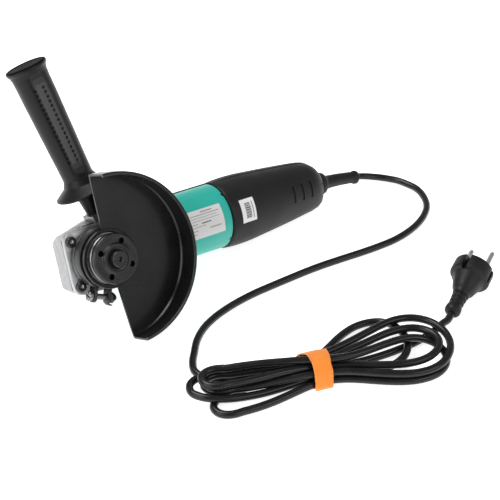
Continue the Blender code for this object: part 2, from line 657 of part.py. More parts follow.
def outer_radius(phi):
    """Outline of the back plate about the spindle: rim sector, cut edges, hub ring."""
    return GUARD_R if GUARD_PHI0 <= phi <= GUARD_PHI1 else 24.6


phis = [GUARD_PHI0 + (GUARD_PHI1 - GUARD_PHI0) * k / 26.0 for k in range(27)]
extra = [(92.6, 46.0), (95.0, 24.6)] + [(95.0 + 11.2 * k, 24.6) for k in range(1, 16)] + [(273.0, 24.6), (273.8, 46.0)]
for ph in phis:
    plate_cols.append((ph, [(21.7, GUARD_Z0), (GUARD_R - 0.8, GUARD_Z0), (GUARD_R - 0.8, GUARD_Z1), (21.7, GUARD_Z1)]))
for ph, r in extra:
    plate_cols.append((ph, [(21.7, GUARD_Z0), (r, GUARD_Z0), (r, GUARD_Z1), (21.7, GUARD_Z1)]))
guard = columns(plate_cols)
loop = [(GUARD_R - 1.6, GUARD_Z0 + 0.3), (GUARD_R, GUARD_Z0 + 0.3), (GUARD_R, GUARD_LIP_Z - 1.0), (GUARD_R - 0.6, GUARD_LIP_Z),
        (GUARD_R - 2.6, GUARD_LIP_Z), (GUARD_R - 3.2, GUARD_LIP_Z - 0.9), (GUARD_R - 2.6, GUARD_LIP_Z - 1.8), (GUARD_R - 1.6, GUARD_LIP_Z - 1.8)]
wall_rings = []
for ph in phis:
    a = math.radians(ph)
    wall_rings.append([(r * math.cos(a), r * math.sin(a), z) for r, z in loop])
wall = rings_solid(wall_rings)
collar = revolve([(21.2, 19.6), (22.9, 19.6), (22.9, GUARD_Z0 + 0.8), (21.2, GUARD_Z0 + 0.8)], 48)
guard = add(guard, wall, collar)
place(guard, "disc_guard", GUARD, GUARDP, 30)

# clamp band and its ears
er = Vector((math.cos(math.radians(CLAMP_PHI)), math.sin(math.radians(CLAMP_PHI)), 0))
et = Vector((-er.y, er.x, 0))
band_pts = []
R0, R1 = 23.2, 24.9
EI, EO, EL = 5.2, 7.6, 36.5


def rt(r, t):
    p = er * r + et * t
    return (p.x, p.y)


band_pts.append(rt(EL, EI))
band_pts.append(rt(math.sqrt(R0 * R0 - EI * EI), EI))
a0 = CLAMP_PHI + math.degrees(math.asin(EI / R0))
a1 = CLAMP_PHI - math.degrees(math.asin(EI / R0)) + 360.0
for k in range(1, 28):
    a = math.radians(a0 + (a1 - a0) * k / 28.0)
    band_pts.append((R0 * math.cos(a), R0 * math.sin(a)))
band_pts.append(rt(math.sqrt(R0 * R0 - EI * EI), -EI))
band_pts.append(rt(EL, -EI))
band_pts.append(rt(EL, -EO))
b0 = CLAMP_PHI + math.degrees(math.asin(EO / R1))
b1 = CLAMP_PHI - math.degrees(math.asin(EO / R1)) + 360.0
band_pts.append(rt(math.sqrt(R1 * R1 - EO * EO), -EO))
for k in range(27, 0, -1):
    a = math.radians(b0 + (b1 - b0) * k / 28.0)
    band_pts.append((R1 * math.cos(a), R1 * math.sin(a)))
band_pts.append(rt(math.sqrt(R1 * R1 - EO * EO), EO))
band_pts.append(rt(EL, EO))
band = prism(band_pts, 20.0, 29.6)
bolt_c = er * 31.4 + Vector((0, 0, 24.8))
band = cut(band, cyl(2.8, -20.0, 20.0, 20, 'Z', along(bolt_c, et)))
place(band, "guard_clamp_band", GUARD, DARKSTEEL, 30)

bolt = revolve([(0, -11.6), (4.0, -11.6), (4.2, -11.2), (4.2, -8.4), (3.9, -7.9), (2.4, -7.9), (2.4, 13.6), (2.0, 14.2), (0, 14.2)], 20, 'Z', along(bolt_c, et))
place(bolt, "guard_clamp_bolt", GUARD, STEEL)
hexpts = [(4.6 * math.cos(math.radians(60 * k)), 4.6 * math.sin(math.radians(60 * k))) for k in range(6)]
cnut = prism(hexpts, 7.9, 11.8, along(bolt_c, et))
cnut = cut(cnut, cyl(2.6, 7.0, 13.0, 18, 'Z', along(bolt_c, et)))
place(cnut, "guard_clamp_nut", GUARD, STEEL, 20)

# ================================================================ side handle
grip_profile = [(0, 22.0), (5.2, 22.0), (5.2, 6.5), (7.0, 6.5), (7.3, 11.0), (7.9, 17.0), (8.8, 22.4), (10.6, 24.2), (22.8, 25.4), (24.3, 26.4),
                (24.2, 27.6), (22.6, 28.8), (13.4, 36.6), (12.5, 39.0), (12.9, 50.0), (13.5, 70.0), (14.0, 90.0), (14.5, 110.0), (14.7, 125.0),
                (15.0, 130.0), (15.8, 133.0), (17.2, 135.4), (17.3, 136.8), (16.6, 138.0), (15.0, 138.4), (13.8, 137.8), (0, 137.6)]
grip = revolve(grip_profile, 44, 'Z', along(SIDE_P, SIDE_DIR), closed=False)
place(grip, "side_handle_grip", TOOL, BLACK, 40)
stud = revolve([(0, -5.4), (4.4, -5.4), (4.9, -4.8), (4.9, 21.4), (4.5, 21.7), (0, 21.7)], 24, 'Z', along(SIDE_P, SIDE_DIR))
place(stud, "side_handle_stud", TOOL, STEEL)

# ================================================================ boot
boot_path = [(245.0, -1.9, 0), (245.7, -1.9, 0), (247.3, -1.9, 0), (250.9, -2.1, 0), (253.1, -2.3, 0),
             (258, -2.7, 0), (264, -3.1, 0), (272, -3.8, 0), (280, -4.8, 0), (287.6, -5.9, 0), (288.4, -6.05, 0), (291.6, -6.55, 0), (292.4, -6.7, 0)]
boot_r = [10.1, 10.5, 10.6, 10.0, 6.7, 6.2, 5.9, 5.7, 5.5, 5.4, 6.2, 6.3, 5.8]
boot_o = sweep(boot_path, boot_r, 14)
boot_root = sweep([(236.1, 0, 0), (237.5, 0, 0), (237.8, 0, 0), (245.6, 0, 0)], [9.6, 9.6, 7.9, 7.9], 14)
boot_o = add(boot_o, boot_root)
place(boot_o, "cord_boot", TOOL, RUBBER, 40)

# ================================================================ cord on the ground
SHIFT = Vector((REST_SHIFT[0], REST_SHIFT[1], 0.0))


def tube(points, name, look):
    """Plain round cord along world points in millimetres."""
    cu = bpy.data.curves.new(name, 'CURVE')
    cu.dimensions = '3D'
    cu.bevel_depth = CORD_R * MM
    cu.bevel_resolution = 2
    cu.resolution_u = 1
    cu.use_fill_caps = True
    sp = cu.splines.new('POLY')
    sp.points.add(len(points) - 1)
    for q, p in zip(sp.points, points):
        v = (Vector(p) + SHIFT) * MM
        q.co = (v.x, v.y, v.z, 1.0)
    o = bpy.data.objects.new(name, cu)
    bpy.context.scene.collection.objects.link(o)
    o.parent = GROUND
    cu.materials.append(material(name + "_mat", *look))
    return o


def smooth_path(points, step):
    """Catmull-Rom through the points, one point every step millimetres."""
    pts = [Vector(p) for p in points]
    pts = [pts[0] * 2 - pts[1]] + pts + [pts[-1] * 2 - pts[-2]]
    dense = []
    for i in range(1, len(pts) - 2):
        a, b, c, d = pts[i - 1], pts[i], pts[i + 1], pts[i + 2]
        for k in range(24):
            t = k / 24.0
            dense.append(0.5 * (2 * b + (c - a) * t + (2 * a - 5 * b + 4 * c - d) * t * t + (3 * b - a - 3 * c + d) * t ** 3))
    dense.append(pts[-2])
    total = sum((q - p).length for p, q in zip(dense, dense[1:]))
    n = max(2, int(round(total / step)))
    out, acc, want = [dense[0]], 0.0, total / n
    for p, q in zip(dense, dense[1:]):
        d = (q - p).length
        while acc + d >= want and len(out) < n:
            f = (want - acc) / d
            p = p.lerp(q, f)
            out.append(p.copy())
            d = (q - p).length
            acc = 0.0
        acc += d
    out.append(dense[-1])
    return out


place_world = lambda o, name, look, smooth=35.0: place(o, name, GROUND, look, smooth)

CORD_ROUTE = [(290.5, -1.95, 9.45), (294.6, -2.5, 8.4), (299.4, -3.7, 7.2), (304.8, -6.3, 5.9), (309.6, -9.3, 4.9), (314.6, -13.4, 4.1), (321.4, -22.6, 3.6),
              (326.4, -35.8, 3.5), (327.0, -49.0, 3.5), (320.8, -64.7, 3.5), (312.2, -75.4, 3.5), (300.5, -83.4, 3.5),
              (286.9, -89.4, 3.5), (270.8, -93.2, 3.5), (251.0, -94.8, 3.5), (227.8, -92.1, 3.5), (202.3, -87.3, 3.5),
              (181.1, -83.4, 3.5), (157.4, -80.9, 3.5), (147.9, -80.6, 3.5), (111.3, -77.1, 3.5), (77.5, -79.5, 3.5),
              (54.4, -85.6, 3.5), (37.9, -94.6, 3.5), (26.9, -105.4, 3.5), (19.6, -118.8, 3.5), (16.2, -129.0, 3.5)]
tube(smooth_path(CORD_ROUTE, 13.0), "cord_tube", RUBBER)

HANK_LEFT = [(81, -168.5), (75, -163.5), (60, -154), (35, -139), (17, -132), (2, -134), (-9, -142), (-13, -154), (-13, -170), (-9, -188), (3, -199),
             (20, -206), (40, -209), (58, -209.5), (68, -206.5), (75, -189)]
HANK_RIGHT = [(99, -170.5), (110, -164), (125, -158), (142, -157), (162, -161), (173, -173), (196, -184), (204, -212), (191, -241),
              (167, -259), (145, -262), (123, -254), (103, -234), (88, -218), (86, -212.5), (92.5, -191)]


def hank_half(points, z0, z1):
    hank_top = [(x, y, z1) for x, y in points]
    c = Vector((sum(x for x, _ in points) / len(points), sum(y for _, y in points) / len(points), 0))

    def inset(d, z):
        out = []
        for x, y in points:
            v = Vector((x, y, 0)) - c
            v = c + v * (1.0 - d / v.length)
            out.append((v.x + SHIFT.x, v.y + SHIFT.y, z))
        return out
    return rings_solid([inset(2.6, z0), inset(0.6, z0 + 2.4), inset(0.0, 0.5 * (z0 + z1)), inset(0.6, z1 - 2.4), inset(2.6, z1)])


hank = hank_half(HANK_LEFT, 0.4, 14.0)
waist_at = Vector((83.5, -188.5, 9.4)) + SHIFT
waist_m = Matrix.Translation(waist_at) @ Matrix.Rotation(math.atan2(-0.33, 0.94), 4, 'Z')
ring_y = [(15.2, 0.0), (13.9, 5.4), (10.2, 8.3), (0.0, 9.2), (-10.2, 8.3), (-13.9, 5.4), (-15.2, 0.0), (-13.9, -4.9), (-10.1, -7.9), (0.0, -8.3), (10.1, -7.9), (13.9, -4.9)]
waist = rings_solid([[(x, y * q, z * q) for y, z in ring_y] for x, q in ((-15.0, 0.8), (-9.0, 1.0), (9.0, 1.0), (15.0, 0.8))], matrix=waist_m)
hank = add(hank, waist, hank_half(HANK_RIGHT, 0.4, 14.0))
place_world(hank, "cord_hank", RUBBER, 40)

# ---- hook-and-loop tie round the waist
tie_out = [(17.0, 0.0), (15.6, 6.4), (12.0, 10.2), (0.0, 11.4), (-12.0, 10.2), (-15.6, 6.4), (-17.0, 0.0), (-15.6, -6.2), (-12.0, -8.7), (0.0, -8.95), (12.0, -8.7), (15.6, -6.2)]
tie_in = [(15.7, 0.0), (14.4, 5.8), (10.6, 8.7), (0.0, 9.6), (-10.6, 8.7), (-14.4, 5.8), (-15.7, 0.0), (-14.4, -5.3), (-10.5, -8.3), (0.0, -8.7), (10.5, -8.3), (14.4, -5.3)]

# ================================================================ plug
PLUG_TAIL = Vector((215.2, -204.5, 6.8))
PLUG_HEADING = math.radians(24.0)
PLUG_TILT = math.radians(14.2)
PLUG_ROLL = math.radians(14.0)
PLUG_DIR = Vector((math.cos(PLUG_TILT) * math.cos(PLUG_HEADING), math.cos(PLUG_TILT) * math.sin(PLUG_HEADING), math.sin(PLUG_TILT)))
_u = PLUG_DIR.cross(Vector((0, 0, 1))).normalized()
_v = _u.cross(PLUG_DIR)
_a = _u * math.cos(PLUG_ROLL) + _v * math.sin(PLUG_ROLL)
_b = _a.cross(PLUG_DIR) * -1.0
PLUG_M = Matrix.Translation(PLUG_TAIL + SHIFT) @ Matrix((_a, _b, PLUG_DIR)).transposed().to_4x4()

plug = revolve([(0, 0), (5.0, 0), (6.5, 1.3), (6.8, 4.6), (6.2, 8.0), (5.0, 8.8), (5.0, 10.6), (6.2, 11.0), (6.2, 13.2), (5.0, 13.6), (5.0, 15.2), (6.5, 15.6),
                (6.5, 17.8), (5.2, 18.2), (5.2, 19.8), (7.0, 20.2), (7.6, 23.4), (9.2, 25.6), (12.6, 35.5), (13.4, 38.2), (16.4, 39.6), (17.2, 40.8),
                (17.2, 51.4), (16.4, 52.5), (0, 52.5)], 40, 'Z', PLUG_M)
for sgn in (1.0, -1.0):
    # earth clip notch, guide groove and pin hole on each side
    plug = cut(plug, prism([(-3.2, sgn * 18.9), (3.2, sgn * 18.9), (1.3, sgn * 11.8), (-1.3, sgn * 11.8)], 38.3, 54.0, PLUG_M),
               box(min(sgn * 15.8, sgn * 18.5), max(sgn * 15.8, sgn * 18.5), -2.0, 2.0, 38.7, 54.0, PLUG_M),
               cyl(2.7, 48.0, 54.0, 20, 'Z', PLUG_M @ Matrix.Translation((sgn * 9.5, 0, 0))))
place_world(plug, "plug_body", RUBBER, 35)
for i, sgn in enumerate((1.0, -1.0)):
    pin = revolve([(0, 48.3), (2.4, 48.3), (2.4, 69.6), (1.9, 71.0), (0.8, 71.5), (0, 71.5)], 26, 'Z', PLUG_M @ Matrix.Translation((sgn * 9.5, 0, 0)))
    place_world(pin, "plug_pin_%d" % (i + 1), STEEL)

tail_end = PLUG_TAIL - PLUG_DIR * 0.35
tube([(204.7, -209.4, 3.8), (207.4, -208.1, 4.5), (tail_end.x - PLUG_DIR.x * 3.6, tail_end.y - PLUG_DIR.y * 3.6, tail_end.z - PLUG_DIR.z * 3.6), tuple(tail_end)],
     "cord_tail", RUBBER)


def yz_band(outer, inner, x0, x1, m):
    """Closed strap: an outer and an inner loop of the same count, extruded along x."""
    n = len(outer)
    v = []
    for lo in (outer, inner):
        for x in (x0, x1):
            v += [(x, y, z) for y, z in lo]
    f = []
    for k in range(n):
        j = (k + 1) % n
        f.append((k, j, n + j, n + k))
        f.append((2 * n + k, 3 * n + k, 3 * n + j, 2 * n + j))
        f.append((k, 2 * n + k, 2 * n + j, j))
        f.append((n + k, n + j, 3 * n + j, 3 * n + k))
    return temp(v, f, m)


tie = yz_band(tie_out, tie_in, -6.6, 6.6, waist_m)
place_world(tie, "cable_tie", ORANGE, 50)
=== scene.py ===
import bpy
import bmesh
import math
import numpy as np
from mathutils import Matrix, Vector


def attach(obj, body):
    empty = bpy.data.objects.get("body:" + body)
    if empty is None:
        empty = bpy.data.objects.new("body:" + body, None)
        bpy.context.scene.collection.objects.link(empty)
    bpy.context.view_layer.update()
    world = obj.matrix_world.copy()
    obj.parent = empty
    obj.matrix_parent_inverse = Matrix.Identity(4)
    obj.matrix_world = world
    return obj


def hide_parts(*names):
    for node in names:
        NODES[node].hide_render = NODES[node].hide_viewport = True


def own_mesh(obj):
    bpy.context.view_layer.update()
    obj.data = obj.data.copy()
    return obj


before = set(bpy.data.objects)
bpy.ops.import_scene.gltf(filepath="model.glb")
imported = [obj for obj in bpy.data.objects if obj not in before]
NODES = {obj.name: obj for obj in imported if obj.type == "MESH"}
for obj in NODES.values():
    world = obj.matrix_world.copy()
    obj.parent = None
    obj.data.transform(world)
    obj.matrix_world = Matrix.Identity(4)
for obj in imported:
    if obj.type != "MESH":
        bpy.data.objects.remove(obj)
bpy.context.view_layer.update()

MM = 0.001

# ------------------------------------------------------------------ frames
# the tool's own frame (millimetres) and the ground frame, both into metres in the row frame
UP = Vector((-0.1112, 0.8965, 0.4288)).normalized()
EX = (Vector((1, 0, 0)) - UP * UP.x).normalized()
EY = UP.cross(EX)
TOOL = Matrix.Translation((-0.131705, -0.000183, 0.04818)) @ Matrix((EX, EY, UP)).to_4x4() @ Matrix.Scale(MM, 4)
GROUND = Matrix.Translation((-0.131705, -0.000183, 0.0)) @ Matrix.Scale(MM, 4)
ROW = Matrix.Scale(MM, 4)

SIDE_P = Vector((15.1, 28.1, 2.4))
SIDE_TILT = math.radians(14.1)
SIDE_DIR = Vector((-math.sin(SIDE_TILT), math.cos(SIDE_TILT), 0.006)).normalized()


# ------------------------------------------------------------------ materials
def mat(name, base, rough, metal=0.0, var=0.10, rvar=0.08, bump=0.15, size=1.2, depth=0.05, coat=0.0, coat_rough=0.2,
        spec=0.5, sheen=0.0, cloud=14.0, aniso=None, tint=None):
    """Principled surface whose colour, roughness and relief vary with procedural noise.
    size is the grain in millimetres, cloud the larger patches, depth the relief in millimetres."""
    m = bpy.data.materials.new(name)
    m.use_nodes = True
    nt = m.node_tree
    nd, ln = nt.nodes, nt.links
    nd.clear()
    out = nd.new("ShaderNodeOutputMaterial")
    b = nd.new("ShaderNodeBsdfPrincipled")
    ln.new(b.outputs["BSDF"], out.inputs["Surface"])
    b.inputs["Metallic"].default_value = metal
    b.inputs["Specular IOR Level"].default_value = spec
    b.inputs["Coat Weight"].default_value = coat
    b.inputs["Coat Roughness"].default_value = coat_rough
    b.inputs["Sheen Weight"].default_value = sheen
    tc = nd.new("ShaderNodeTexCoord")
    src = tc.outputs["Object"]
    if aniso:
        mp = nd.new("ShaderNodeMapping")
        mp.inputs["Scale"].default_value = aniso
        ln.new(src, mp.inputs["Vector"])
        src = mp.outputs["Vector"]
    fine = nd.new("ShaderNodeTexNoise")
    fine.inputs["Scale"].default_value = 1000.0 / size
    fine.inputs["Detail"].default_value = 4.0
    fine.inputs["Roughness"].default_value = 0.6
    ln.new(src, fine.inputs["Vector"])
    big = nd.new("ShaderNodeTexNoise")
    big.inputs["Scale"].default_value = 1000.0 / cloud
    big.inputs["Detail"].default_value = 3.0
    ln.new(tc.outputs["Object"], big.inputs["Vector"])
    ramp = nd.new("ShaderNodeValToRGB")
    t = tint or tuple(min(1.0, c * (1.0 + var) + 0.002) for c in base)
    ramp.color_ramp.elements[0].color = tuple(c * (1.0 - var) for c in base) + (1.0,)
    ramp.color_ramp.elements[1].color = tuple(t) + (1.0,)
    ramp.color_ramp.elements[0].position = 0.3
    ramp.color_ramp.elements[1].position = 0.7
    mix = nd.new("ShaderNodeMath")
    mix.operation = 'MULTIPLY_ADD'
    mix.inputs[1].default_value = 0.45
    ln.new(fine.outputs["Fac"], mix.inputs[0])
    half = nd.new("ShaderNodeMath")
    half.operation = 'MULTIPLY'
    half.inputs[1].default_value = 0.55
    ln.new(big.outputs["Fac"], half.inputs[0])
    ln.new(half.outputs[0], mix.inputs[2])
    ln.new(mix.outputs[0], ramp.inputs["Fac"])
    ln.new(ramp.outputs["Color"], b.inputs["Base Color"])
    mr = nd.new("ShaderNodeMapRange")
    mr.inputs["From Min"].default_value = 0.3
    mr.inputs["From Max"].default_value = 0.7
    mr.inputs["To Min"].default_value = max(0.03, rough - rvar)
    mr.inputs["To Max"].default_value = min(1.0, rough + rvar)
    ln.new(big.outputs["Fac"], mr.inputs["Value"])
    ln.new(mr.outputs["Result"], b.inputs["Roughness"])
    bp = nd.new("ShaderNodeBump")
    bp.inputs["Strength"].default_value = bump
    bp.inputs["Distance"].default_value = depth * MM
    ln.new(fine.outputs["Fac"], bp.inputs["Height"])
    ln.new(bp.outputs["Normal"], b.inputs["Normal"])
    return m


def woven(name, base, dark):
    """Looped fabric: two crossed waves with fuzz on top."""
    m = mat(name, base, 0.85, var=0.12, bump=0.6, size=0.5, depth=0.25, sheen=0.4, cloud=6.0)
    nt = m.node_tree
    nd, ln = nt.nodes, nt.links
    b = nd["Principled BSDF"]
    tc = [n for n in nd if n.type == 'TEX_COORD'][0]
    waves = []
    for rot in ((0.0, 0.0, 0.4), (0.0, 0.0, 1.97)):
        mp = nd.new("ShaderNodeMapping")
        mp.inputs["Rotation"].default_value = rot
        ln.new(tc.outputs["Object"], mp.inputs["Vector"])
        w = nd.new("ShaderNodeTexWave")
        w.inputs["Scale"].default_value = 320.0
        w.inputs["Distortion"].default_value = 2.0
        w.inputs["Detail"].default_value = 1.0
        ln.new(mp.outputs["Vector"], w.inputs["Vector"])
        waves.append(w)
    add = nd.new("ShaderNodeMath")
    add.operation = 'MULTIPLY'
    ln.new(waves[0].outputs["Fac"], add.inputs[0])
    ln.new(waves[1].outputs["Fac"], add.inputs[1])
    bp = [n for n in nd if n.type == 'BUMP'][0]
    fine = [n for n in nd if n.type == 'TEX_NOISE'][0]
    mixh = nd.new("ShaderNodeMath")
    mixh.operation = 'MULTIPLY_ADD'
    mixh.inputs[1].default_value = 0.6
    ln.new(add.outputs[0], mixh.inputs[0])
    ln.new(fine.outputs["Fac"], mixh.inputs[2])
    ln.new(mixh.outputs[0], bp.inputs["Height"])
    cm = nd.new("ShaderNodeMixRGB")
    cm.inputs[2].default_value = dark + (1.0,)
    ramp = [n for n in nd if n.type == 'VALTORGB'][0]
    inv = nd.new("ShaderNodeMath")
    inv.operation = 'MULTIPLY'
    inv.inputs[1].default_value = 0.22
    ln.new(add.outputs[0], inv.inputs[0])
    ln.new(inv.outputs[0], cm.inputs[0])
    ln.new(ramp.outputs["Color"], cm.inputs[1])
    ln.new(cm.outputs["Color"], b.inputs["Base Color"])
    return m


MAT = {
    "teal": mat("teal_moulding", (0.020, 0.42, 0.345), 0.36, var=0.05, bump=0.10, size=0.8, depth=0.03, cloud=30.0, spec=0.45),
    "black": mat("black_moulding", (0.0075, 0.0075, 0.0078), 0.50, var=0.16, spec=0.28, bump=0.30, size=0.55, depth=0.05, cloud=25.0),
    "grip": mat("grip_moulding", (0.0045, 0.0045, 0.0047), 0.38, var=0.18, spec=0.22, bump=0.30, size=0.6, depth=0.05, cloud=18.0),
    "panel1": mat("grip_panel_edge", (0.013, 0.013, 0.0134), 0.48, var=0.15, spec=0.26, bump=0.32, size=0.5, depth=0.05, cloud=18.0),
    "panel2": mat("grip_panel_side", (0.028, 0.028, 0.0288), 0.55, var=0.15, spec=0.3, bump=0.34, size=0.5, depth=0.05, cloud=18.0),
    "panel": mat("grip_panel", (0.046, 0.046, 0.0475), 0.62, var=0.15, spec=0.4, bump=0.35, size=0.5, depth=0.05, cloud=18.0),
    # near-black material of the grip's end face, also used as painted shade inside the flange nut's pin holes
    "cap_and_hole_shade": mat("grip_end_and_hole_shade", (0.004, 0.004, 0.0042), 0.50, var=0.15, spec=0.02, bump=0.08, size=0.6, depth=0.02, cloud=18.0),
    "guard": mat("guard_coating", (0.006, 0.006, 0.0062), 0.30, spec=0.28, metal=0.0, var=0.15, bump=0.10, size=0.9, depth=0.02, cloud=30.0, coat=0.25, coat_rough=0.22),
    "cast": mat("cast_metal", (0.25, 0.2525, 0.256), 0.42, metal=0.85, var=0.13, rvar=0.10, bump=0.55, size=0.7, depth=0.10, cloud=5.0),
    # lighter copy of the cast metal: painted light for the cover's top, which faces the lamps
    "cast_painted_light": mat("cast_metal_cover_painted_light", (0.46, 0.464, 0.47), 0.46, metal=0.85, var=0.16, rvar=0.10, bump=0.55, size=0.7, depth=0.10, cloud=4.0),
    "steel": mat("turned_steel", (0.52, 0.52, 0.53), 0.30, metal=1.0, var=0.10, bump=0.15, size=0.5, depth=0.02),
    "blackened": mat("blackened_steel", (0.020, 0.020, 0.0212), 0.34, metal=0.5, var=0.30, bump=0.20, size=0.6, depth=0.03, cloud=7.0, coat=0.15),
    "band": mat("blackened_band", (0.030, 0.030, 0.032), 0.38, metal=0.5, var=0.30, bump=0.20, size=0.6, depth=0.03, cloud=7.0),
    "zinc": mat("dark_zinc", (0.20, 0.20, 0.205), 0.30, metal=0.9, var=0.25, bump=0.2, size=0.6, depth=0.03, cloud=5.0),
    "brass": mat("brass_plain", (0.72, 0.52, 0.22), 0.34, metal=1.0),
    "copper": mat("varnished_copper", (0.62, 0.24, 0.09), 0.30, metal=0.85, bump=0.5, size=0.6, depth=0.12, coat=0.4),
    "lamin": mat("stacked_laminations", (0.24, 0.24, 0.26), 0.48, metal=0.9, bump=0.6, size=0.6, depth=0.10, aniso=(6.0, 0.6, 0.6)),
    "carbon": mat("pressed_carbon", (0.03, 0.03, 0.031), 0.66, bump=0.4, size=0.3, depth=0.05),
    "rubber": mat("black_rubber", (0.0072, 0.0072, 0.0075), 0.46, var=0.18, spec=0.28, bump=0.16, size=0.5, depth=0.03, cloud=12.0),
    "cord": mat("cord_jacket", (0.0075, 0.0075, 0.0078), 0.25, var=0.15, spec=0.32, bump=0.12, size=0.6, depth=0.03, cloud=15.0),
    "plated": mat("nickel_plating", (0.70, 0.68, 0.64), 0.20, metal=1.0, var=0.05, bump=0.06, size=0.6, depth=0.01),
    "label": mat("label_foil", (0.66, 0.645, 0.645), 0.42, var=0.03, bump=0.06, size=0.5, depth=0.01, cloud=20.0),
    "paper": mat("label_paper", (0.78, 0.78, 0.78), 0.55, var=0.03, bump=0.06, size=0.3, depth=0.01, cloud=20.0),
    "ink": mat("label_ink", (0.30, 0.295, 0.30), 0.5, var=0.15, bump=0.05, size=0.4, depth=0.01),
    "darkink": mat("label_dark_ink", (0.05, 0.05, 0.052), 0.5, var=0.15, bump=0.05, size=0.4, depth=0.01),
    "strap": woven("orange_hook_and_loop", (0.95, 0.26, 0.018), (0.62, 0.13, 0.008)),
}


# ------------------------------------------------------------------ mesh makers
AXIS = {
    'Z': Matrix.Identity(4),
    'X': Matrix(((0, 0, 1, 0), (1, 0, 0, 0), (0, 1, 0, 0), (0, 0, 0, 1))),
}


def temp(verts, faces, matrix=None):
    me = bpy.data.meshes.new("m")
    me.from_pydata([tuple(v) for v in verts], [], faces)
    bm = bmesh.new()
    bm.from_mesh(me)
    bmesh.ops.recalc_face_normals(bm, faces=bm.faces)
    if bm.calc_volume(signed=True) < 0:
        bmesh.ops.reverse_faces(bm, faces=bm.faces)
    bm.to_mesh(me)
    bm.free()
    if matrix is not None:
        me.transform(matrix)
    o = bpy.data.objects.new("tmp", me)
    bpy.context.scene.collection.objects.link(o)
    return o


def fillet(points, radius, seg=3, closed=False, even=False):
    """Round the corners of a 2-D line or loop."""
    n = len(points)
    out = []
    for i, p in enumerate(points):
        if not closed and i in (0, n - 1):
            out.append(tuple(p))
            continue
        r = radius[i] if isinstance(radius, (list, tuple)) else radius
        a, b, c = Vector(points[i - 1]), Vector(p), Vector(points[(i + 1) % n])
        u, v = a - b, c - b
        if u.length < 1e-6 or v.length < 1e-6 or r <= 0:
            out.append(tuple(p))
            continue
        ang = u.angle(v)
        if ang > math.radians(172) and not even:
            out.append(tuple(p))
            continue
        d = min(r / max(math.tan(ang / 2), 0.05), 0.46 * u.length, 0.46 * v.length)
        s, e = b + u.normalized() * d, b + v.normalized() * d
        for k in range(seg + 1):
            t = k / seg
            q = s * (1 - t) ** 2 + b * 2 * t * (1 - t) + e * t * t
            out.append((q.x, q.y))
    return out


def revolve(profile, n=96, axis='Z', matrix=None, closed=None, soft=0.4, seg=3):
    """Solid of revolution with rounded corners. profile is (radius, along)."""
    if closed is None:
        closed = min(r for r, _ in profile) > 1e-9
    pr = fillet(profile, soft, seg, closed) if soft else profile
    verts, faces, rings = [], [], []
    for r, t in pr:
        if r < 1e-9:
            rings.append([len(verts)])
            verts.append((0, 0, t))
        else:
            rings.append(list(range(len(verts), len(verts) + n)))
            for k in range(n):
                a = 2 * math.pi * k / n
                verts.append((r * math.cos(a), r * math.sin(a), t))
    pairs = list(zip(rings, rings[1:]))
    if closed:
        pairs.append((rings[-1], rings[0]))
    for p, q in pairs:
        if len(p) == 1 and len(q) == 1:
            continue
        for k in range(n):
            k2 = (k + 1) % n
            if len(p) == 1:
                faces.append((p[0], q[k], q[k2]))
            elif len(q) == 1:
                faces.append((p[k], q[0], p[k2]))
            else:
                faces.append((p[k], q[k], q[k2], p[k2]))
    m = AXIS[axis]
    if matrix is not None:
        m = matrix @ m
    return temp(verts, faces, m)


def rings_solid(rings, loop=False, matrix=None):
    n = len(rings[0])
    verts = [v for r in rings for v in r]
    faces = []
    m = len(rings)
    for i in range(m if loop else m - 1):
        j = (i + 1) % m
        for k in range(n):
            k2 = (k + 1) % n
            faces.append((i * n + k, i * n + k2, j * n + k2, j * n + k))
    if not loop:
        faces.append(tuple(range(n)))
        faces.append(tuple((m - 1) * n + k for k in range(n)))
    return temp(verts, faces, matrix)


def super_r(a, p, t):
    c, s = math.cos(t), math.sin(t)
    if p == 2.0:
        return a
    return a / (abs(c) ** p + abs(s) ** p) ** (1.0 / p)


def super_ring(x, a, p=2.0, n=96, ripple=None):
    out = []
    for k in range(n):
        t = 2 * math.pi * k / n
        r = super_r(a, p, t)
        if ripple:
            r += ripple(x, math.degrees(t))
        out.append((x, r * math.cos(t), r * math.sin(t)))
    return out


def prism(points, z0, z1, matrix=None, edge=0.0, seg=2):
    """Extruded outline with rounded rims."""
    def inset(d):
        if d <= 0:
            return [tuple(p) for p in points]
        n = len(points)
        area = sum(points[i][0] * points[(i + 1) % n][1] - points[(i + 1) % n][0] * points[i][1] for i in range(n))
        sg = 1.0 if area > 0 else -1.0
        res = []
        for i in range(n):
            a, b, c = Vector(points[i - 1]), Vector(points[i]), Vector(points[(i + 1) % n])
            u, v = (b - a).normalized(), (c - b).normalized()
            n1, n2 = Vector((-u.y, u.x)) * sg, Vector((-v.y, v.x)) * sg
            nn = n1 + n2
            if nn.length < 1e-6:
                nn = n1
            nn = nn.normalized()
            k = max(nn.dot(n1), 0.4)
            q = b + nn * (d / k)
            res.append((q.x, q.y))
        return res
    levels = []
    if edge > 0:
        for k in range(seg + 1):
            a = math.pi / 2 * k / seg
            levels.append((edge * (1 - math.sin(a)), z0 + edge * (1 - math.cos(a))))
        for k in range(seg, -1, -1):
            a = math.pi / 2 * k / seg
            levels.append((edge * (1 - math.sin(a)), z1 - edge * (1 - math.cos(a))))
    else:
        levels = [(0.0, z0), (0.0, z1)]
    return rings_solid([[(x, y, z) for x, y in inset(d)] for d, z in levels], matrix=matrix)


def rect(x0, x1, y0, y1, r=0.0, seg=4):
    pts = [(x0, y0), (x1, y0), (x1, y1), (x0, y1)]
    return fillet(pts, r, seg, True) if r else pts


def box(x0, x1, y0, y1, z0, z1, matrix=None, edge=0.0, r=0.0):
    return prism(rect(x0, x1, y0, y1, r or edge), z0, z1, matrix, edge)


def cyl(r, t0, t1, n=48, axis='Z', matrix=None, soft=0.0):
    return revolve([(0, t0), (r, t0), (r, t1), (0, t1)], n, axis, matrix, False, soft)


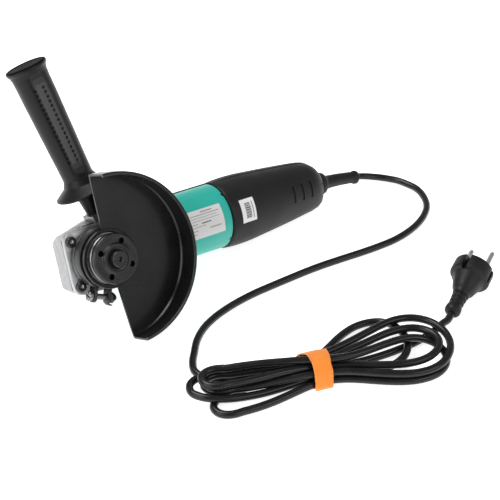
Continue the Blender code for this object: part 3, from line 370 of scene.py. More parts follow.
def sweep(path, radii, n=24, flat=None):
    """Tube along a path with its own radius at every point."""
    pts = [Vector(p) for p in path]
    m = len(pts)
    tang = [(pts[min(i + 1, m - 1)] - pts[max(i - 1, 0)]).normalized() for i in range(m)]
    up = Vector((0, 0, 1)) if abs(tang[0].z) < 0.9 else Vector((1, 0, 0))
    nrm = (up - tang[0] * up.dot(tang[0])).normalized()
    rings = []
    for i in range(m):
        if i:
            nrm = (nrm - tang[i] * nrm.dot(tang[i])).normalized()
        w = tang[i].cross(nrm)
        rr = radii[i] if isinstance(radii, (list, tuple)) else radii
        rings.append([pts[i] + (nrm * math.cos(2 * math.pi * k / n) + w * math.sin(2 * math.pi * k / n)) * rr for k in range(n)])
    return rings_solid(rings)


def clean(me):
    bm = bmesh.new()
    bm.from_mesh(me)
    bmesh.ops.remove_doubles(bm, verts=bm.verts, dist=0.0001)
    bmesh.ops.dissolve_degenerate(bm, edges=bm.edges, dist=0.0001)
    bm.to_mesh(me)
    bm.free()


def combine(target, cutters, op):
    for c in cutters:
        md = target.modifiers.new("b", 'BOOLEAN')
        md.operation = op
        md.object = c
        md.solver = 'EXACT'
        dg = bpy.context.evaluated_depsgraph_get()
        dg.update()
        me = bpy.data.meshes.new_from_object(target.evaluated_get(dg))
        target.modifiers.clear()
        target.data = me
        bpy.data.objects.remove(c, do_unlink=True)
    clean(target.data)
    return target


def cut(target, *cutters):
    return combine(target, cutters, 'DIFFERENCE')


def add(target, *others):
    return combine(target, others, 'UNION')


def along(p, d):
    q = Vector((0, 0, 1)).rotation_difference(Vector(d).normalized())
    return Matrix.Translation(Vector(p)) @ q.to_matrix().to_4x4()


def make(o, name, body, look, swaps=(), frame_m=TOOL, smooth=32.0, bevel=0.0, extra=()):
    """Bring a millimetre piece into the row frame, give it its looks and fasten it to its body."""
    me = o.data
    if bevel:
        md = o.modifiers.new("bevel", 'BEVEL')
        md.width = bevel
        md.segments = 2
        md.limit_method = 'ANGLE'
        md.angle_limit = math.radians(38)
        md.use_clamp_overlap = True
        dg = bpy.context.evaluated_depsgraph_get()
        dg.update()
        me = bpy.data.meshes.new_from_object(o.evaluated_get(dg))
        o.modifiers.clear()
        o.data = me
    me.transform(frame_m)
    me.materials.clear()
    me.materials.append(MAT[look])
    for e in extra:
        me.materials.append(MAT[e])
    o.name = name
    me.name = name
    me.shade_smooth()
    me.set_sharp_from_angle(angle=math.radians(smooth))
    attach(o, body)
    if swaps:
        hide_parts(*swaps)
    return o


def hermite(xs, ys, x):
    """Smooth curve through the samples."""
    n = len(xs)
    if x <= xs[0]:
        return ys[0]
    if x >= xs[-1]:
        return ys[-1]
    d = [(ys[i + 1] - ys[i]) / (xs[i + 1] - xs[i]) for i in range(n - 1)]
    m = [d[0]] + [0.0 if d[i - 1] * d[i] <= 0 else 2 * d[i - 1] * d[i] / (d[i - 1] + d[i]) for i in range(1, n - 1)] + [d[-1]]
    for i in range(n - 1):
        if x <= xs[i + 1]:
            h = xs[i + 1] - xs[i]
            t = (x - xs[i]) / h
            return (ys[i] * (1 + 2 * t) * (1 - t) ** 2 + m[i] * h * t * (1 - t) ** 2 + ys[i + 1] * t * t * (3 - 2 * t)
                    + m[i + 1] * h * t * t * (t - 1))
    return ys[-1]


def smoothstep(a, b, x):
    t = max(0.0, min(1.0, (x - a) / (b - a)))
    return t * t * (3 - 2 * t)


def window(x, a, b, e):
    return smoothstep(a - e, a + e, x) * (1.0 - smoothstep(b - e, b + e, x))


# ------------------------------------------------------------------ camera
cam_data = bpy.data.cameras.new("camera")
cam = bpy.data.objects.new("camera", cam_data)
bpy.context.scene.collection.objects.link(cam)
cam_data.sensor_width = 36.0
cam_data.lens = 100.8
cam_data.clip_start = 0.05
cam_data.clip_end = 30.0
cam.matrix_world = Matrix(((0.78796, 0.36655, -0.49472, -0.5924),
                           (-0.61551, 0.44766, -0.64865, -0.8218),
                           (-0.0163, 0.81562, 0.57836, 0.7127),
                           (0, 0, 0, 1)))
bpy.context.scene.camera = cam

# ------------------------------------------------------------------ cord and plug
PLUG_TAIL = Vector((215.2, -204.5, 6.8))
HEADING, TILT, ROLL = math.radians(24.0), math.radians(14.2), math.radians(14.0)
PLUG_DIR = Vector((math.cos(TILT) * math.cos(HEADING), math.cos(TILT) * math.sin(HEADING), math.sin(TILT)))
_u = PLUG_DIR.cross(Vector((0, 0, 1))).normalized()
_v = _u.cross(PLUG_DIR)
_a = _u * math.cos(ROLL) + _v * math.sin(ROLL)
_b = _a.cross(PLUG_DIR) * -1.0
PLUG_M = Matrix.Translation(PLUG_TAIL) @ Matrix((_a, _b, PLUG_DIR)).transposed().to_4x4()

ROUTE = [
    (158.3, -2.8, 9.9), (163.6, -2.9, 8.2), (169.2, -4.6, 6.8), (174.4, -7.3, 5.6), (179.3, -10.6, 4.7), (183.7, -14.6, 4.0),
    (187.2, -19.5, 3.8), (190.4, -24.5, 3.6), (192.5, -30.1, 3.5), (195.1, -45.7, 3.3), (190.7, -60.8, 3.3), (181.8, -74.0, 3.3),
    (169.0, -83.4, 3.3), (154.3, -89.8, 3.3), (138.8, -93.4, 3.3), (122.8, -94.7, 3.3), (106.9, -93.5, 3.3), (91.1, -91.3, 3.3),
    (75.3, -88.4, 3.3), (59.6, -85.5, 3.3), (43.8, -83.0, 3.3), (27.9, -81.3, 3.3), (11.9, -80.1, 3.3), (-4.0, -79.0, 3.3),
    (-20.0, -78.1, 3.3), (-36.0, -78.4, 3.3), (-51.9, -80.0, 3.3), (-67.5, -83.3, 3.3), (-82.4, -89.0, 3.3), (-95.7, -97.9, 3.3),
    (-106.3, -109.8, 3.3), (-110.8, -119.2, 3.3), (-112.7, -129.5, 3.3), (-111.1, -139.8, 3.2), (-105.7, -148.7, 3.2), (-97.9, -155.7, 3.3),
    (-88.9, -161.1, 3.2), (-79.4, -165.5, 3.2), (-69.6, -169.4, 3.3), (-59.6, -172.7, 3.3), (-49.4, -174.9, 3.3), (-38.9, -175.5, 3.4),
    (-28.5, -174.1, 3.4), (-18.4, -171.3, 3.5), (-8.4, -168.3, 3.6), (1.9, -166.2, 3.7), (12.4, -166.1, 4.0), (22.2, -169.6, 4.5),
    (29.4, -176.9, 5.4), (32.5, -186.8, 6.4), (31.8, -197.2, 7.6), (28.0, -206.9, 8.4), (21.5, -215.1, 8.5), (12.7, -220.6, 7.8),
    (2.5, -222.1, 6.7), (-7.6, -219.6, 5.6), (-16.7, -214.4, 4.7), (-25.1, -208.3, 4.1), (-33.7, -202.2, 3.7), (-42.7, -196.9, 3.4),
    (-52.4, -192.9, 3.3), (-62.5, -190.1, 3.3), (-72.9, -188.2, 3.6), (-83.2, -186.5, 4.2), (-93.5, -184.5, 5.2), (-103.5, -181.7, 6.5),
    (-113.2, -177.9, 7.8), (-122.0, -172.4, 9.0), (-129.3, -164.9, 9.5), (-132.5, -155.1, 9.4), (-127.3, -146.5, 9.1), (-117.2, -144.4, 9.1),
    (-107.0, -146.6, 9.1), (-97.4, -150.8, 9.2), (-88.2, -155.9, 9.2), (-79.2, -161.3, 9.3), (-70.2, -166.7, 9.4), (-60.9, -171.6, 9.6),
    (-51.3, -175.8, 9.8), (-41.4, -179.2, 10.2), (-31.2, -181.7, 10.6), (-20.8, -183.3, 11.1), (-10.4, -184.2, 11.5), (0.1, -184.8, 12.0),
    (10.6, -185.5, 12.3), (21.0, -186.6, 12.6), (31.3, -188.8, 12.7), (41.0, -192.8, 12.5), (49.2, -199.2, 12.2), (54.6, -208.1, 11.8),
    (55.6, -218.5, 11.4), (52.6, -228.5, 11.1), (46.3, -236.8, 10.8), (37.7, -242.7, 10.4), (27.7, -245.8, 10.0), (17.3, -245.6, 9.7),
    (7.3, -242.5, 9.5), (-1.7, -237.2, 9.5), (-9.8, -230.5, 9.6), (-17.5, -223.3, 9.8), (-25.1, -216.1, 10.2), (-33.1, -209.4, 10.6),
    (-41.8, -203.4, 10.8), (-50.9, -198.3, 10.9), (-60.4, -193.7, 10.6), (-69.9, -189.4, 10.2), (-79.6, -185.2, 9.8), (-89.2, -181.0, 9.5),
    (-98.7, -176.5, 9.3), (-107.9, -171.5, 9.3), (-116.4, -165.4, 9.5), (-123.2, -157.5, 9.8), (-118.9, -150.9, 10.3), (-108.7, -153.5, 10.6),
    (-99.2, -157.8, 10.8), (-89.9, -162.8, 11.1), (-80.8, -167.9, 11.3), (-71.6, -173.1, 11.4), (-62.4, -178.0, 11.5), (-52.9, -182.6, 11.5),
    (-43.1, -186.4, 11.4), (-33.0, -189.3, 11.5), (-22.7, -191.3, 11.7), (-12.3, -192.7, 12.0), (-1.9, -193.9, 12.4), (8.5, -195.3, 13.0),
    (18.7, -197.5, 13.6), (28.5, -201.3, 14.1), (37.1, -207.1, 14.5), (42.8, -215.8, 14.6), (42.7, -226.0, 14.4), (35.9, -233.7, 13.6),
    (25.9, -236.5, 13.0), (15.5, -235.5, 12.5), (5.8, -231.6, 12.1), (-3.0, -225.9, 11.8), (-11.1, -219.2, 11.5), (-18.9, -212.3, 11.2),
    (-27.0, -205.5, 11.1), (-35.5, -199.4, 11.1), (-44.6, -194.1, 11.5), (-54.1, -189.7, 12.4), (-63.9, -186.2, 13.5), (-73.9, -183.4, 14.7),
    (-84.1, -180.9, 15.5), (-94.2, -178.2, 16.0), (-104.1, -174.6, 16.3), (-113.4, -169.7, 16.4), (-121.4, -163.0, 16.4), (-124.6, -153.6, 16.4),
    (-114.9, -151.7, 16.7), (-105.0, -154.9, 17.0), (-95.5, -159.5, 17.2), (-86.5, -164.8, 17.5), (-77.7, -170.5, 17.7), (-69.0, -176.4, 17.8),
    (-60.3, -182.3, 18.0), (-51.6, -188.3, 18.0), (-42.8, -194.0, 17.9), (-33.7, -199.2, 17.7), (-24.1, -203.3, 17.6), (-13.9, -205.8, 17.4),
    (-3.5, -207.3, 17.1), (6.9, -208.4, 16.5), (17.3, -209.9, 15.5), (27.2, -212.6, 13.8), (36.2, -217.2, 11.1), (42.4, -225.0, 8.1),
    (42.6, -234.9, 5.5), (36.2, -242.8, 4.0), (26.5, -246.6, 3.4), (16.1, -246.4, 3.3), (6.1, -243.4, 3.3), (-3.0, -238.1, 3.3),
    (-11.1, -231.5, 3.4), (-18.6, -224.1, 3.4), (-26.0, -216.7, 3.5), (-33.9, -209.8, 3.6), (-42.7, -204.1, 3.7), (-52.4, -200.1, 3.7),
    (-62.7, -198.0, 3.7), (-73.1, -197.1, 3.7), (-83.6, -196.5, 3.6), (-94.1, -195.5, 3.5), (-104.4, -193.6, 3.5), (-114.4, -190.4, 3.4),
    (-123.4, -185.1, 3.3), (-128.6, -176.5, 3.3), (-121.1, -170.2, 3.2), (-110.6, -169.2, 3.3), (-100.2, -169.9, 3.3), (-89.8, -171.4, 3.4),
    (-79.5, -173.6, 3.5), (-69.4, -176.5, 3.6), (-59.5, -180.0, 3.6), (-49.9, -184.1, 3.7), (-40.4, -188.6, 3.7), (-30.9, -193.2, 3.7),
    (-21.3, -197.4, 3.6), (-11.5, -201.0, 3.5), (-1.4, -203.9, 3.4), (8.9, -206.3, 3.3), (19.2, -208.1, 3.2), (29.6, -209.6, 3.2),
    (40.0, -210.6, 3.4), (50.5, -210.8, 3.8), (61.0, -209.9, 4.3), (71.3, -208.0, 4.9), (81.3, -204.9, 5.5), (84.5, -203.8, 5.7)
]
HANK_C = Vector((-48.2, -188.7))
HANK_X = Vector((0.9435, -0.3313))
HANK_Y = Vector((0.3313, 0.9435))


def spread(p):
    """Folds of the hank opened a little toward both ends."""
    d = Vector((p[0], p[1])) - HANK_C
    lx, ly = d.dot(HANK_X), d.dot(HANK_Y)
    near = 1.0 - smoothstep(26.0, 62.0, abs(ly))
    left = smoothstep(12.0, 82.0, -lx) * near
    right = smoothstep(35.0, 85.0, lx) * near
    lx += -8.6 * left + 3.2 * right
    ly *= 1.0 + right * (0.13 if ly > 0 else 0.04)
    q = HANK_C + HANK_X * lx + HANK_Y * ly
    return (q.x, q.y, p[2])


ROUTE = ROUTE[:30] + [spread(p) for p in ROUTE[30:206]] + ROUTE[206:]
tail = PLUG_TAIL + Vector((-131.705, -0.183, 0.0))
ROUTE = ROUTE[:-2] + [tuple(tail - PLUG_DIR * 7.0), tuple(tail + PLUG_DIR * 1.0), tuple(tail + PLUG_DIR * 4.0)]
start = Vector(ROUTE[0])
ROUTE = [tuple(start - (Vector(ROUTE[1]) - start).normalized() * 3.0)] + ROUTE


def smooth_path(points, step):
    pts = [Vector(p) for p in points]
    pts = [pts[0] * 2 - pts[1]] + pts + [pts[-1] * 2 - pts[-2]]
    dense = []
    for i in range(1, len(pts) - 2):
        a, b, c, d = pts[i - 1], pts[i], pts[i + 1], pts[i + 2]
        for k in range(6):
            t = k / 6.0
            dense.append(0.5 * (2 * b + (c - a) * t + (2 * a - 5 * b + 4 * c - d) * t * t + (3 * b - a - 3 * c + d) * t ** 3))
    dense.append(pts[-2])
    out = [dense[0]]
    for p in dense[1:-1]:
        if (p - out[-1]).length >= step:
            out.append(p)
    out.append(dense[-1])
    return out


def even(pts, step):
    """The same line with its points at an even distance."""
    seg = np.linalg.norm(np.diff(pts, axis=0), axis=1)
    run = np.concatenate([[0.0], np.cumsum(seg)])
    at = np.linspace(0.0, run[-1], int(round(run[-1] / step)) + 1)
    return np.stack([np.interp(at, run, pts[:, k]) for k in range(3)], axis=1)


def relax(points, limit):
    """Cord's own stiffness: opens any bend that is tighter than the limit into a rounder one of the same length."""
    pts = even(np.array([tuple(p) for p in points]), 1.8)
    for turn in range(400):
        a, b, c = pts[:-6], pts[3:-3], pts[6:]
        u, v = b - a, c - b
        lu, lv = np.linalg.norm(u, axis=1), np.linalg.norm(v, axis=1)
        ang = np.arccos(np.clip((u * v).sum(axis=1) / (lu * lv), -1.0, 1.0))
        hot = np.zeros(len(pts))
        hot[3:-3] = (0.5 * (lu + lv) / np.maximum(ang, 1e-6) < limit)
        if not hot.any():
            break
        hot = np.convolve(hot, np.ones(19), "same") > 0
        hot[:10] = False
        hot[-10:] = False
        new = pts.copy()
        new[1:-1] = 0.5 * pts[1:-1] + 0.25 * (pts[:-2] + pts[2:])
        new = np.where(hot[:, None], new, pts)
        idx = np.flatnonzero(hot)
        for s in np.split(idx, np.flatnonzero(np.diff(idx) > 1) + 1):
            old, now = pts[s[0] - 1:s[-1] + 2], new[s[0] - 1:s[-1] + 2]
            lost = np.linalg.norm(np.diff(old, axis=0), axis=1).sum() - np.linalg.norm(np.diff(now, axis=0), axis=1).sum()
            k = new[s - 1] + new[s + 1] - 2 * new[s]
            k[:, 2] = 0.0
            k = np.stack([np.convolve(k[:, j], np.ones(7) / 7.0, "same") for j in range(3)], axis=1)
            size = np.linalg.norm(k, axis=1)
            w = np.minimum(1.0, size / max(0.4 * size.max(), 1e-9))
            n = k / np.maximum(size, 1e-9)[:, None]
            turned = max(0.6, float(ang[s[0] - 3:s[-1] - 2].sum()) / 3.0)
            new[s] -= n * (w * max(0.0, lost) / turned)[:, None]
        pts = new
    return [Vector(p) for p in even(pts, 1.8)]


cord_pts = relax(smooth_path(ROUTE, 1.6), 10.5)
cu = bpy.data.curves.new("supply_cord", 'CURVE')
cu.dimensions = '3D'
cu.bevel_depth = 0.00315
cu.bevel_resolution = 6
cu.use_fill_caps = True
sp = cu.splines.new('POLY')
sp.points.add(len(cord_pts) - 1)
for q, p in zip(sp.points, cord_pts):
    q.co = (p.x * MM, p.y * MM, p.z * MM, 1.0)
sp.use_smooth = True
cord = bpy.data.objects.new("supply_cord", cu)
bpy.context.scene.collection.objects.link(cord)
cu.materials.append(MAT["cord"])
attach(cord, "tool")
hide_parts("cord_tube", "cord_hank", "cord_tail")

plug = revolve([(0, 0), (4.6, 0), (6.3, 1.0), (6.8, 3.2), (6.7, 5.4), (6.2, 8.0), (5.0, 8.8), (5.0, 10.6), (6.2, 11.0), (6.2, 13.2), (5.0, 13.6), (5.0, 15.2), (6.5, 15.6),
                (6.5, 17.8), (5.2, 18.2), (5.2, 19.8), (7.0, 20.2), (7.6, 23.4), (9.2, 25.6), (12.6, 35.5), (13.4, 38.2), (16.4, 39.6), (17.2, 40.8),
                (17.2, 51.4), (16.4, 52.5), (0, 52.5)], 120, 'Z', PLUG_M, False, 0.9, 4)
for sgn in (1.0, -1.0):
    plug = cut(plug, prism(fillet([(-3.2, sgn * 18.9), (3.2, sgn * 18.9), (1.3, sgn * 11.8), (-1.3, sgn * 11.8)], 0.6, 3, True), 38.3, 54.0, PLUG_M),
               prism(rect(min(sgn * 15.8, sgn * 18.5), max(sgn * 15.8, sgn * 18.5), -2.0, 2.0, 0.5), 38.7, 54.0, PLUG_M),
               cyl(2.7, 48.0, 54.0, 40, 'Z', PLUG_M @ Matrix.Translation((sgn * 9.5, 0, 0))))
plug_o = make(plug, "plug_moulding", "tool", "rubber", ("plug_body",), GROUND, 35, 0.25)
for i, sgn in enumerate((1.0, -1.0)):
    pm = PLUG_M @ Matrix.Translation((sgn * 9.5, 0, 0))
    pin = revolve([(0, 48.3), (2.4, 48.3), (2.4, 69.4), (1.9, 71.0), (0.9, 71.5), (0, 71.5)], 40, 'Z', pm, False, 0.5)
    make(pin, "contact_pin_%d" % (i + 1), "tool", "plated", ("plug_pin_%d" % (i + 1),), GROUND, 40)
    # insulating collar moulded round the pin's root
    col = revolve([(2.45, 48.2), (3.5, 48.2), (3.5, 52.9), (3.1, 53.3), (2.45, 53.3)], 40, 'Z', pm, True, 0.2)
    make(col, "contact_collar_%d" % (i + 1), "tool", "rubber", (), GROUND, 40)

# hook-and-loop tie
waist = Matrix.Translation((83.5, -188.5, 9.4)) @ Matrix.Rotation(math.atan2(-0.33, 0.94), 4, 'Z')
tie_out = [(17.0, 0.0), (15.6, 6.4), (12.0, 10.2), (0.0, 11.4), (-12.0, 10.2), (-15.6, 6.4), (-17.0, 0.0), (-15.6, -6.2), (-12.0, -8.7), (0.0, -8.95), (12.0, -8.7), (15.6, -6.2)]


def strap(loop_yz, width, thick, m, closed=True, wav=0.25, seed=0.0):
    """Flat woven strap along a (y, z) line, with soft edges."""
    pts = [Vector((y, z)) for y, z in loop_yz]
    n = len(pts)
    rings = []
    for i in range(n):
        a = pts[i - 1] if (closed or i) else pts[i]
        b = pts[(i + 1) % n] if (closed or i < n - 1) else pts[i]
        t = (b - a).normalized()
        nn = Vector((t.y, -t.x))
        prof = []
        hw, ht = width / 2, thick / 2
        for x, h in fillet([(-hw, -ht), (hw, -ht), (hw, ht), (-hw, ht)], ht * 0.9, 3, True):
            wob = wav * math.sin(i * 0.35 + seed + x * 0.3)
            q = pts[i] + nn * (h + wob * 0.3)
            prof.append((x + wob * 0.6, q.x, q.y))
        rings.append(prof)
    return rings_solid(rings, loop=closed, matrix=m)


def resample(loop, closed, count):
    pts = [Vector(p) for p in loop]
    if closed:
        pts = pts + [pts[0]]
    seg = [(q - p).length for p, q in zip(pts, pts[1:])]
    total = sum(seg)
    out = []
    m = count if closed else count - 1
    for k in range(count):
        want = total * k / m
        acc = 0.0
        for p, q, d in zip(pts, pts[1:], seg):
            if acc + d >= want - 1e-9:
                f = (want - acc) / d if d else 0
                r = p.lerp(q, min(1.0, max(0.0, f)))
                out.append((r.x, r.y))
                break
            acc += d
    return out


tie_line = [(20.2, -6.2), (19.6, -3.4), (14.3, 3.9), (8.2, 8.6), (2.6, 12.0), (-1.6, 12.8), (-6.2, 11.7), (-14.2, 4.6), (-16.9, -3.2), (-17.0, -6.0), (-14.6, -8.7), (0.0, -8.8), (17.0, -8.8)]
core = fillet(tie_line, [3, 3, 6, 8, 6, 6, 7, 7, 6, 2.5, 2, 0, 2], 5, True, True)
SKEW = Matrix(((1, -0.10, 0.10, 0), (0, 1, 0, 0), (0, 0, 1, 0), (0, 0, 0, 1)))
tie = strap(resample(core, True, 110), 14.8, 1.1, waist @ SKEW)
tie_o = make(tie, "hook_and_loop_tie", "tool", "strap", ("cable_tie",), GROUND, 40)
flap_line = fillet([(3.0, 13.3), (-1.6, 14.2), (-6.9, 13.0), (-15.3, 5.2), (-18.2, -3.0), (-18.6, -5.6), (-17.6, -8.4)], [0, 5, 6, 7, 5, 2, 0], 5)
flap = strap(resample(flap_line, False, 44), 14.6, 1.1, waist @ Matrix.Translation((2.2, 0, 0)) @ Matrix(((1, 0.06, 0.02, 0), (0, 1, 0, 0), (0, 0, 1, 0), (0, 0, 0, 1))), closed=False, seed=2.0)
flap_o = make(flap, "tie_loose_end", "tool", "strap", (), GROUND, 40)

# ------------------------------------------------------------------ gear head
HEAD_SECTIONS = [
    (-42.5, [(-5.0, 9.0), (-2.0, 12.0), (12.0, 15.5), (27.0, 16.0), (27.0, -27.0), (8.0, -28.0), (-1.5, -26.0), (-5.5, -22.0)]),
    (-39.5, [(-9.5, 12.0), (-4.7, 16.2), (12.0, 20.0), (31.0, 20.5), (31.0, -31.0), (8.0, -32.0), (-4.4, -30.5), (-9.6, -25.5)]),
    (-30.0, [(-14.5, 14.5), (-9.5, 18.5), (11.0, 23.0), (33.0, 24.0), (33.0, -32.0), (5.0, -32.4), (-8.5, -29.8), (-14.5, -25.0)]),
    (-2.0, [(-23.0, 19.5), (-17.5, 23.6), (6.0, 29.3), (33.0, 30.0), (33.0, -30.0), (3.0, -30.0), (-17.0, -27.0), (-23.5, -22.0)]),
    (10.0, [(-26.8, 20.0), (-20.8, 25.8), (3.0, 27.8), (33.0, 29.5), (33.0, -29.5), (3.0, -28.5), (-20.8, -26.0), (-26.8, -20.0)]),
]
SCREWS_REAR = [(23.0, 23.0), (-23.0, 23.0), (-23.0, -23.0), (23.0, -23.0)]
COVER_SCREWS = [(-21.0, 18.7), (-21.0, -18.7), (20.2, 18.7), (20.2, -18.7)]
zs = [s[0] for s in HEAD_SECTIONS]
rings = []
for z in [-42.5, -42.3, -41.7, -40.8, -39.5, -37.5, -35.0, -32.0, -28.0, -22.0, -16.0, -10.0, -5.0, 0.0, 4.0, 8.0, 9.6, 10.0]:
    pts = []
    for i in range(8):
        pts.append((hermite(zs, [s[1][i][0] for s in HEAD_SECTIONS], z), hermite(zs, [s[1][i][1] for s in HEAD_SECTIONS], z)))
    shrink = 0.4 if z >= 9.95 else (0.0 if z > -42.2 else 0.6)
    q = smoothstep(-24.0, 0.0, z)
    pts = fillet(pts, [3.2 - 2.3 * q, 3.2 - 2.0 * q, 6.0 - 3.0 * q, 1.5, 1.5, 6.0 - 3.0 * q, 3.2 - 2.0 * q, 3.2 - 2.3 * q], 5, True, True)
    c = Vector((sum(p[0] for p in pts) / len(pts), sum(p[1] for p in pts) / len(pts)))
    rr = []
    for p in pts:
        v = Vector(p) - c
        v = c + v * (1 - shrink / v.length)
        rr.append((v.x, v.y, z))
    rings.append(rr)
head = rings_solid(rings)
flange = rings_solid([super_ring(25.0, 28.8, 5.0, 144), super_ring(25.2, 29.7, 5.0, 144), super_ring(25.8, 30.3, 5.0, 144), super_ring(26.6, 30.5, 5.0, 144),
                      super_ring(32.6, 30.5, 5.0, 144), super_ring(33.0, 30.1, 5.0, 144)])
SX = Vector((SIDE_DIR.y, -SIDE_DIR.x, 0.0)).normalized()
SZ = SX.cross(SIDE_DIR).normalized()
PAD = Matrix.Translation(SIDE_P) @ Matrix((SX, SZ * -1.0, SIDE_DIR)).transposed().to_4x4()
if PAD.to_3x3().determinant() < 0:
    PAD = Matrix.Translation(SIDE_P) @ Matrix((SX, SZ, SIDE_DIR)).transposed().to_4x4()
boss = prism(fillet([(-8.4, -8.3), (8.4, -8.3), (8.4, 8.3), (-8.4, 8.3)], 1.4, 4, True), -9.0, 6.2, PAD, 0.4)
head = add(head, flange, boss)
head = cut(head,
           revolve([(0, -30.6), (7.3, -30.6), (7.3, -14.0), (16.5, -14.0), (16.5, 0.6), (22.8, 0.6), (22.8, 12.0), (0, 12.0)], 96, soft=0, closed=False),
           cyl(14.4, 0.0, 27.0, 64, 'X'),
           cyl(26.5, 26.5, 34.0, 96, 'X'),
           cyl(5.2, -6.0, 7.0, 40, 'Z', along(SIDE_P, SIDE_DIR)),
           cyl(6.35, 5.1, 7.0, 40, 'Z', along(SIDE_P, SIDE_DIR)),
           cyl(7.6, -46.0, -38.6, 48, 'Z', Matrix.Translation((0, -11, 0))),
           cyl(5.0, -39.0, -34.0, 40, 'Z', Matrix.Translation((0, -11, 0))),
           cyl(2.3, -35.0, 2.0, 32, 'Z', Matrix.Translation((0, -11, 0))))
for x, y in COVER_SCREWS:
    head = cut(head, cyl(2.1, 2.5, 11.0, 24, 'Z', Matrix.Translation((x, y, 0))))
for y, z in SCREWS_REAR:
    head = cut(head, cyl(2.1, 21.0, 34.0, 24, 'X', Matrix.Translation((0, y, z))))
make(head, "gear_head_casting", "tool", "cast", ("gear_head_housing",), smooth=34)


def zring(z, a, p=2.0, n=144):
    return [(q[1], q[2], z) for q in super_ring(0, a, p, n)]


cover = rings_solid([zring(10.3, 26.5, 7.0), zring(10.6, 26.7, 7.0), zring(13.2, 26.7, 7.0), zring(13.75, 26.5, 7.0), zring(14.0, 26.0, 7.0), zring(14.0, 23.6),
                     zring(14.1, 22.9), zring(14.5, 22.0), zring(15.4, 21.1), zring(16.4, 20.8),
                     zring(33.0, 20.8), zring(33.2, 20.6), zring(33.2, 9.2), zring(33.0, 9.0), zring(19.3, 9.0), zring(19.3, 14.3), zring(10.3, 14.3)], loop=True)
for x, y in COVER_SCREWS:
    # raised seat round each screw and its hole
    cover = add(cover, cyl(5.3, 11.0, 14.25, 40, 'Z', Matrix.Translation((x, y, 0)), 0.3))
for x, y in COVER_SCREWS:
    cover = cut(cover, cyl(2.2, 9.0, 15.0, 24, 'Z', Matrix.Translation((x, y, 0))))
cover = cut(cover, box(24.6, 32.0, -32.0, 32.0, 9.0, 14.9), prism(rect(-8.8, 8.8, -8.7, 8.7), -10.0, 7.0, PAD))
# the cover takes the lighter cast-metal copy, painted light on its lamp-facing top
make(cover, "gear_head_cover", "tool", "cast_painted_light", ("bearing_cover",), smooth=34)

for i, (x, y) in enumerate(COVER_SCREWS):
    m = Matrix.Translation((x, y, 0))
    s = revolve([(0, 4.0), (1.6, 4.0), (1.85, 4.6), (1.85, 14.3), (4.3, 14.3), (4.4, 14.6), (4.4, 16.9), (3.7, 17.7),
                 (2.3, 17.7), (2.1, 17.3), (2.0, 15.6), (0, 15.3)], 48, 'Z', m, False, 0.25)
    s = make(s, "cover_screw_head_%d" % (i + 1), "tool", "blackened", ("cover_screw_%d" % (i + 1),), smooth=38)
    # bright steel disc at the bottom of the recess
    w = revolve([(0, 15.35), (1.1, 15.5), (1.75, 15.9), (1.9, 16.5), (1.5, 16.1), (0.9, 15.85), (0, 15.8)], 24, 'Z', m, False, 0.1)
    make(w, "cover_screw_seat_%d" % (i + 1), "tool", "steel")
for i, (y, z) in enumerate(SCREWS_REAR):
    s = revolve([(0, 22.5), (1.5, 22.5), (1.8, 23.0), (1.8, 44.3), (3.3, 44.3), (3.3, 47.0), (2.9, 47.4), (1.7, 47.4), (1.6, 45.8), (0, 45.6)], 36, 'X', Matrix.Translation((0, y, z)), False, 0.2)
    make(s, "head_screw_body_%d" % (i + 1), "tool", "blackened", ("head_screw_%d" % (i + 1),), smooth=38)

# ------------------------------------------------------------------ spindle set
sp_o = revolve([(0, -30.2), (3.6, -30.2), (4.0, -29.7), (4.0, -14.6), (5.8, -14.6), (5.8, 19.6), (8.3, 19.6), (8.3, 35.3),
                (6.9, 35.3), (6.9, 44.0), (6.9, 50.6), (6.2, 51.4), (2.3, 51.4), (1.3, 49.8), (1.3, 48.5), (0, 48.1)], 72, 'Z', None, False, 0.3)
make(sp_o, "spindle_shaft", "spindle_set", "blackened", ("spindle",))
fl = revolve([(7.2, 35.6), (19.4, 35.6), (20.4, 36.4), (20.4, 38.1), (19.7, 38.9), (12.0, 38.9), (12.0, 38.2), (11.0, 38.2), (11.0, 40.7), (7.2, 40.7)], 120, soft=0.35)
make(fl, "flange_inner", "spindle_set", "zinc", ("inner_flange",))
nut = revolve([(7.15, 41.0), (19.8, 41.0), (20.7, 41.8), (20.7, 43.9), (19.7, 45.0), (16.9, 45.0), (16.6, 44.8), (13.4, 44.8), (13.1, 45.1), (12.6, 45.6), (12.6, 46.7), (11.9, 47.4), (9.9, 47.4),
               (9.4, 46.8), (8.2, 46.6), (7.15, 46.2)], 144, soft=0.35)
for k in range(4):
    a = math.radians(59 + 90 * k)
    nut = cut(nut, cyl(2.5, 41.5, 46.0, 32, 'Z', Matrix.Translation((15 * math.cos(a), 15 * math.sin(a), 0))))
nut_o = make(nut, "flange_nut", "spindle_set", "blackened", ("lock_nut",), bevel=0.25, extra=("cap_and_hole_shade",))
tool_back = TOOL.inverted()
for f in nut_o.data.polygons:
    # painted shade: the inside of the pin holes gets the near-black, barely reflecting end-cap material
    c = tool_back @ f.center
    for k in range(4):
        a = math.radians(59 + 90 * k)
        if c.z < 44.6 and math.hypot(c.x - 15 * math.cos(a), c.y - 15 * math.sin(a)) < 2.56:
            f.material_index = 1

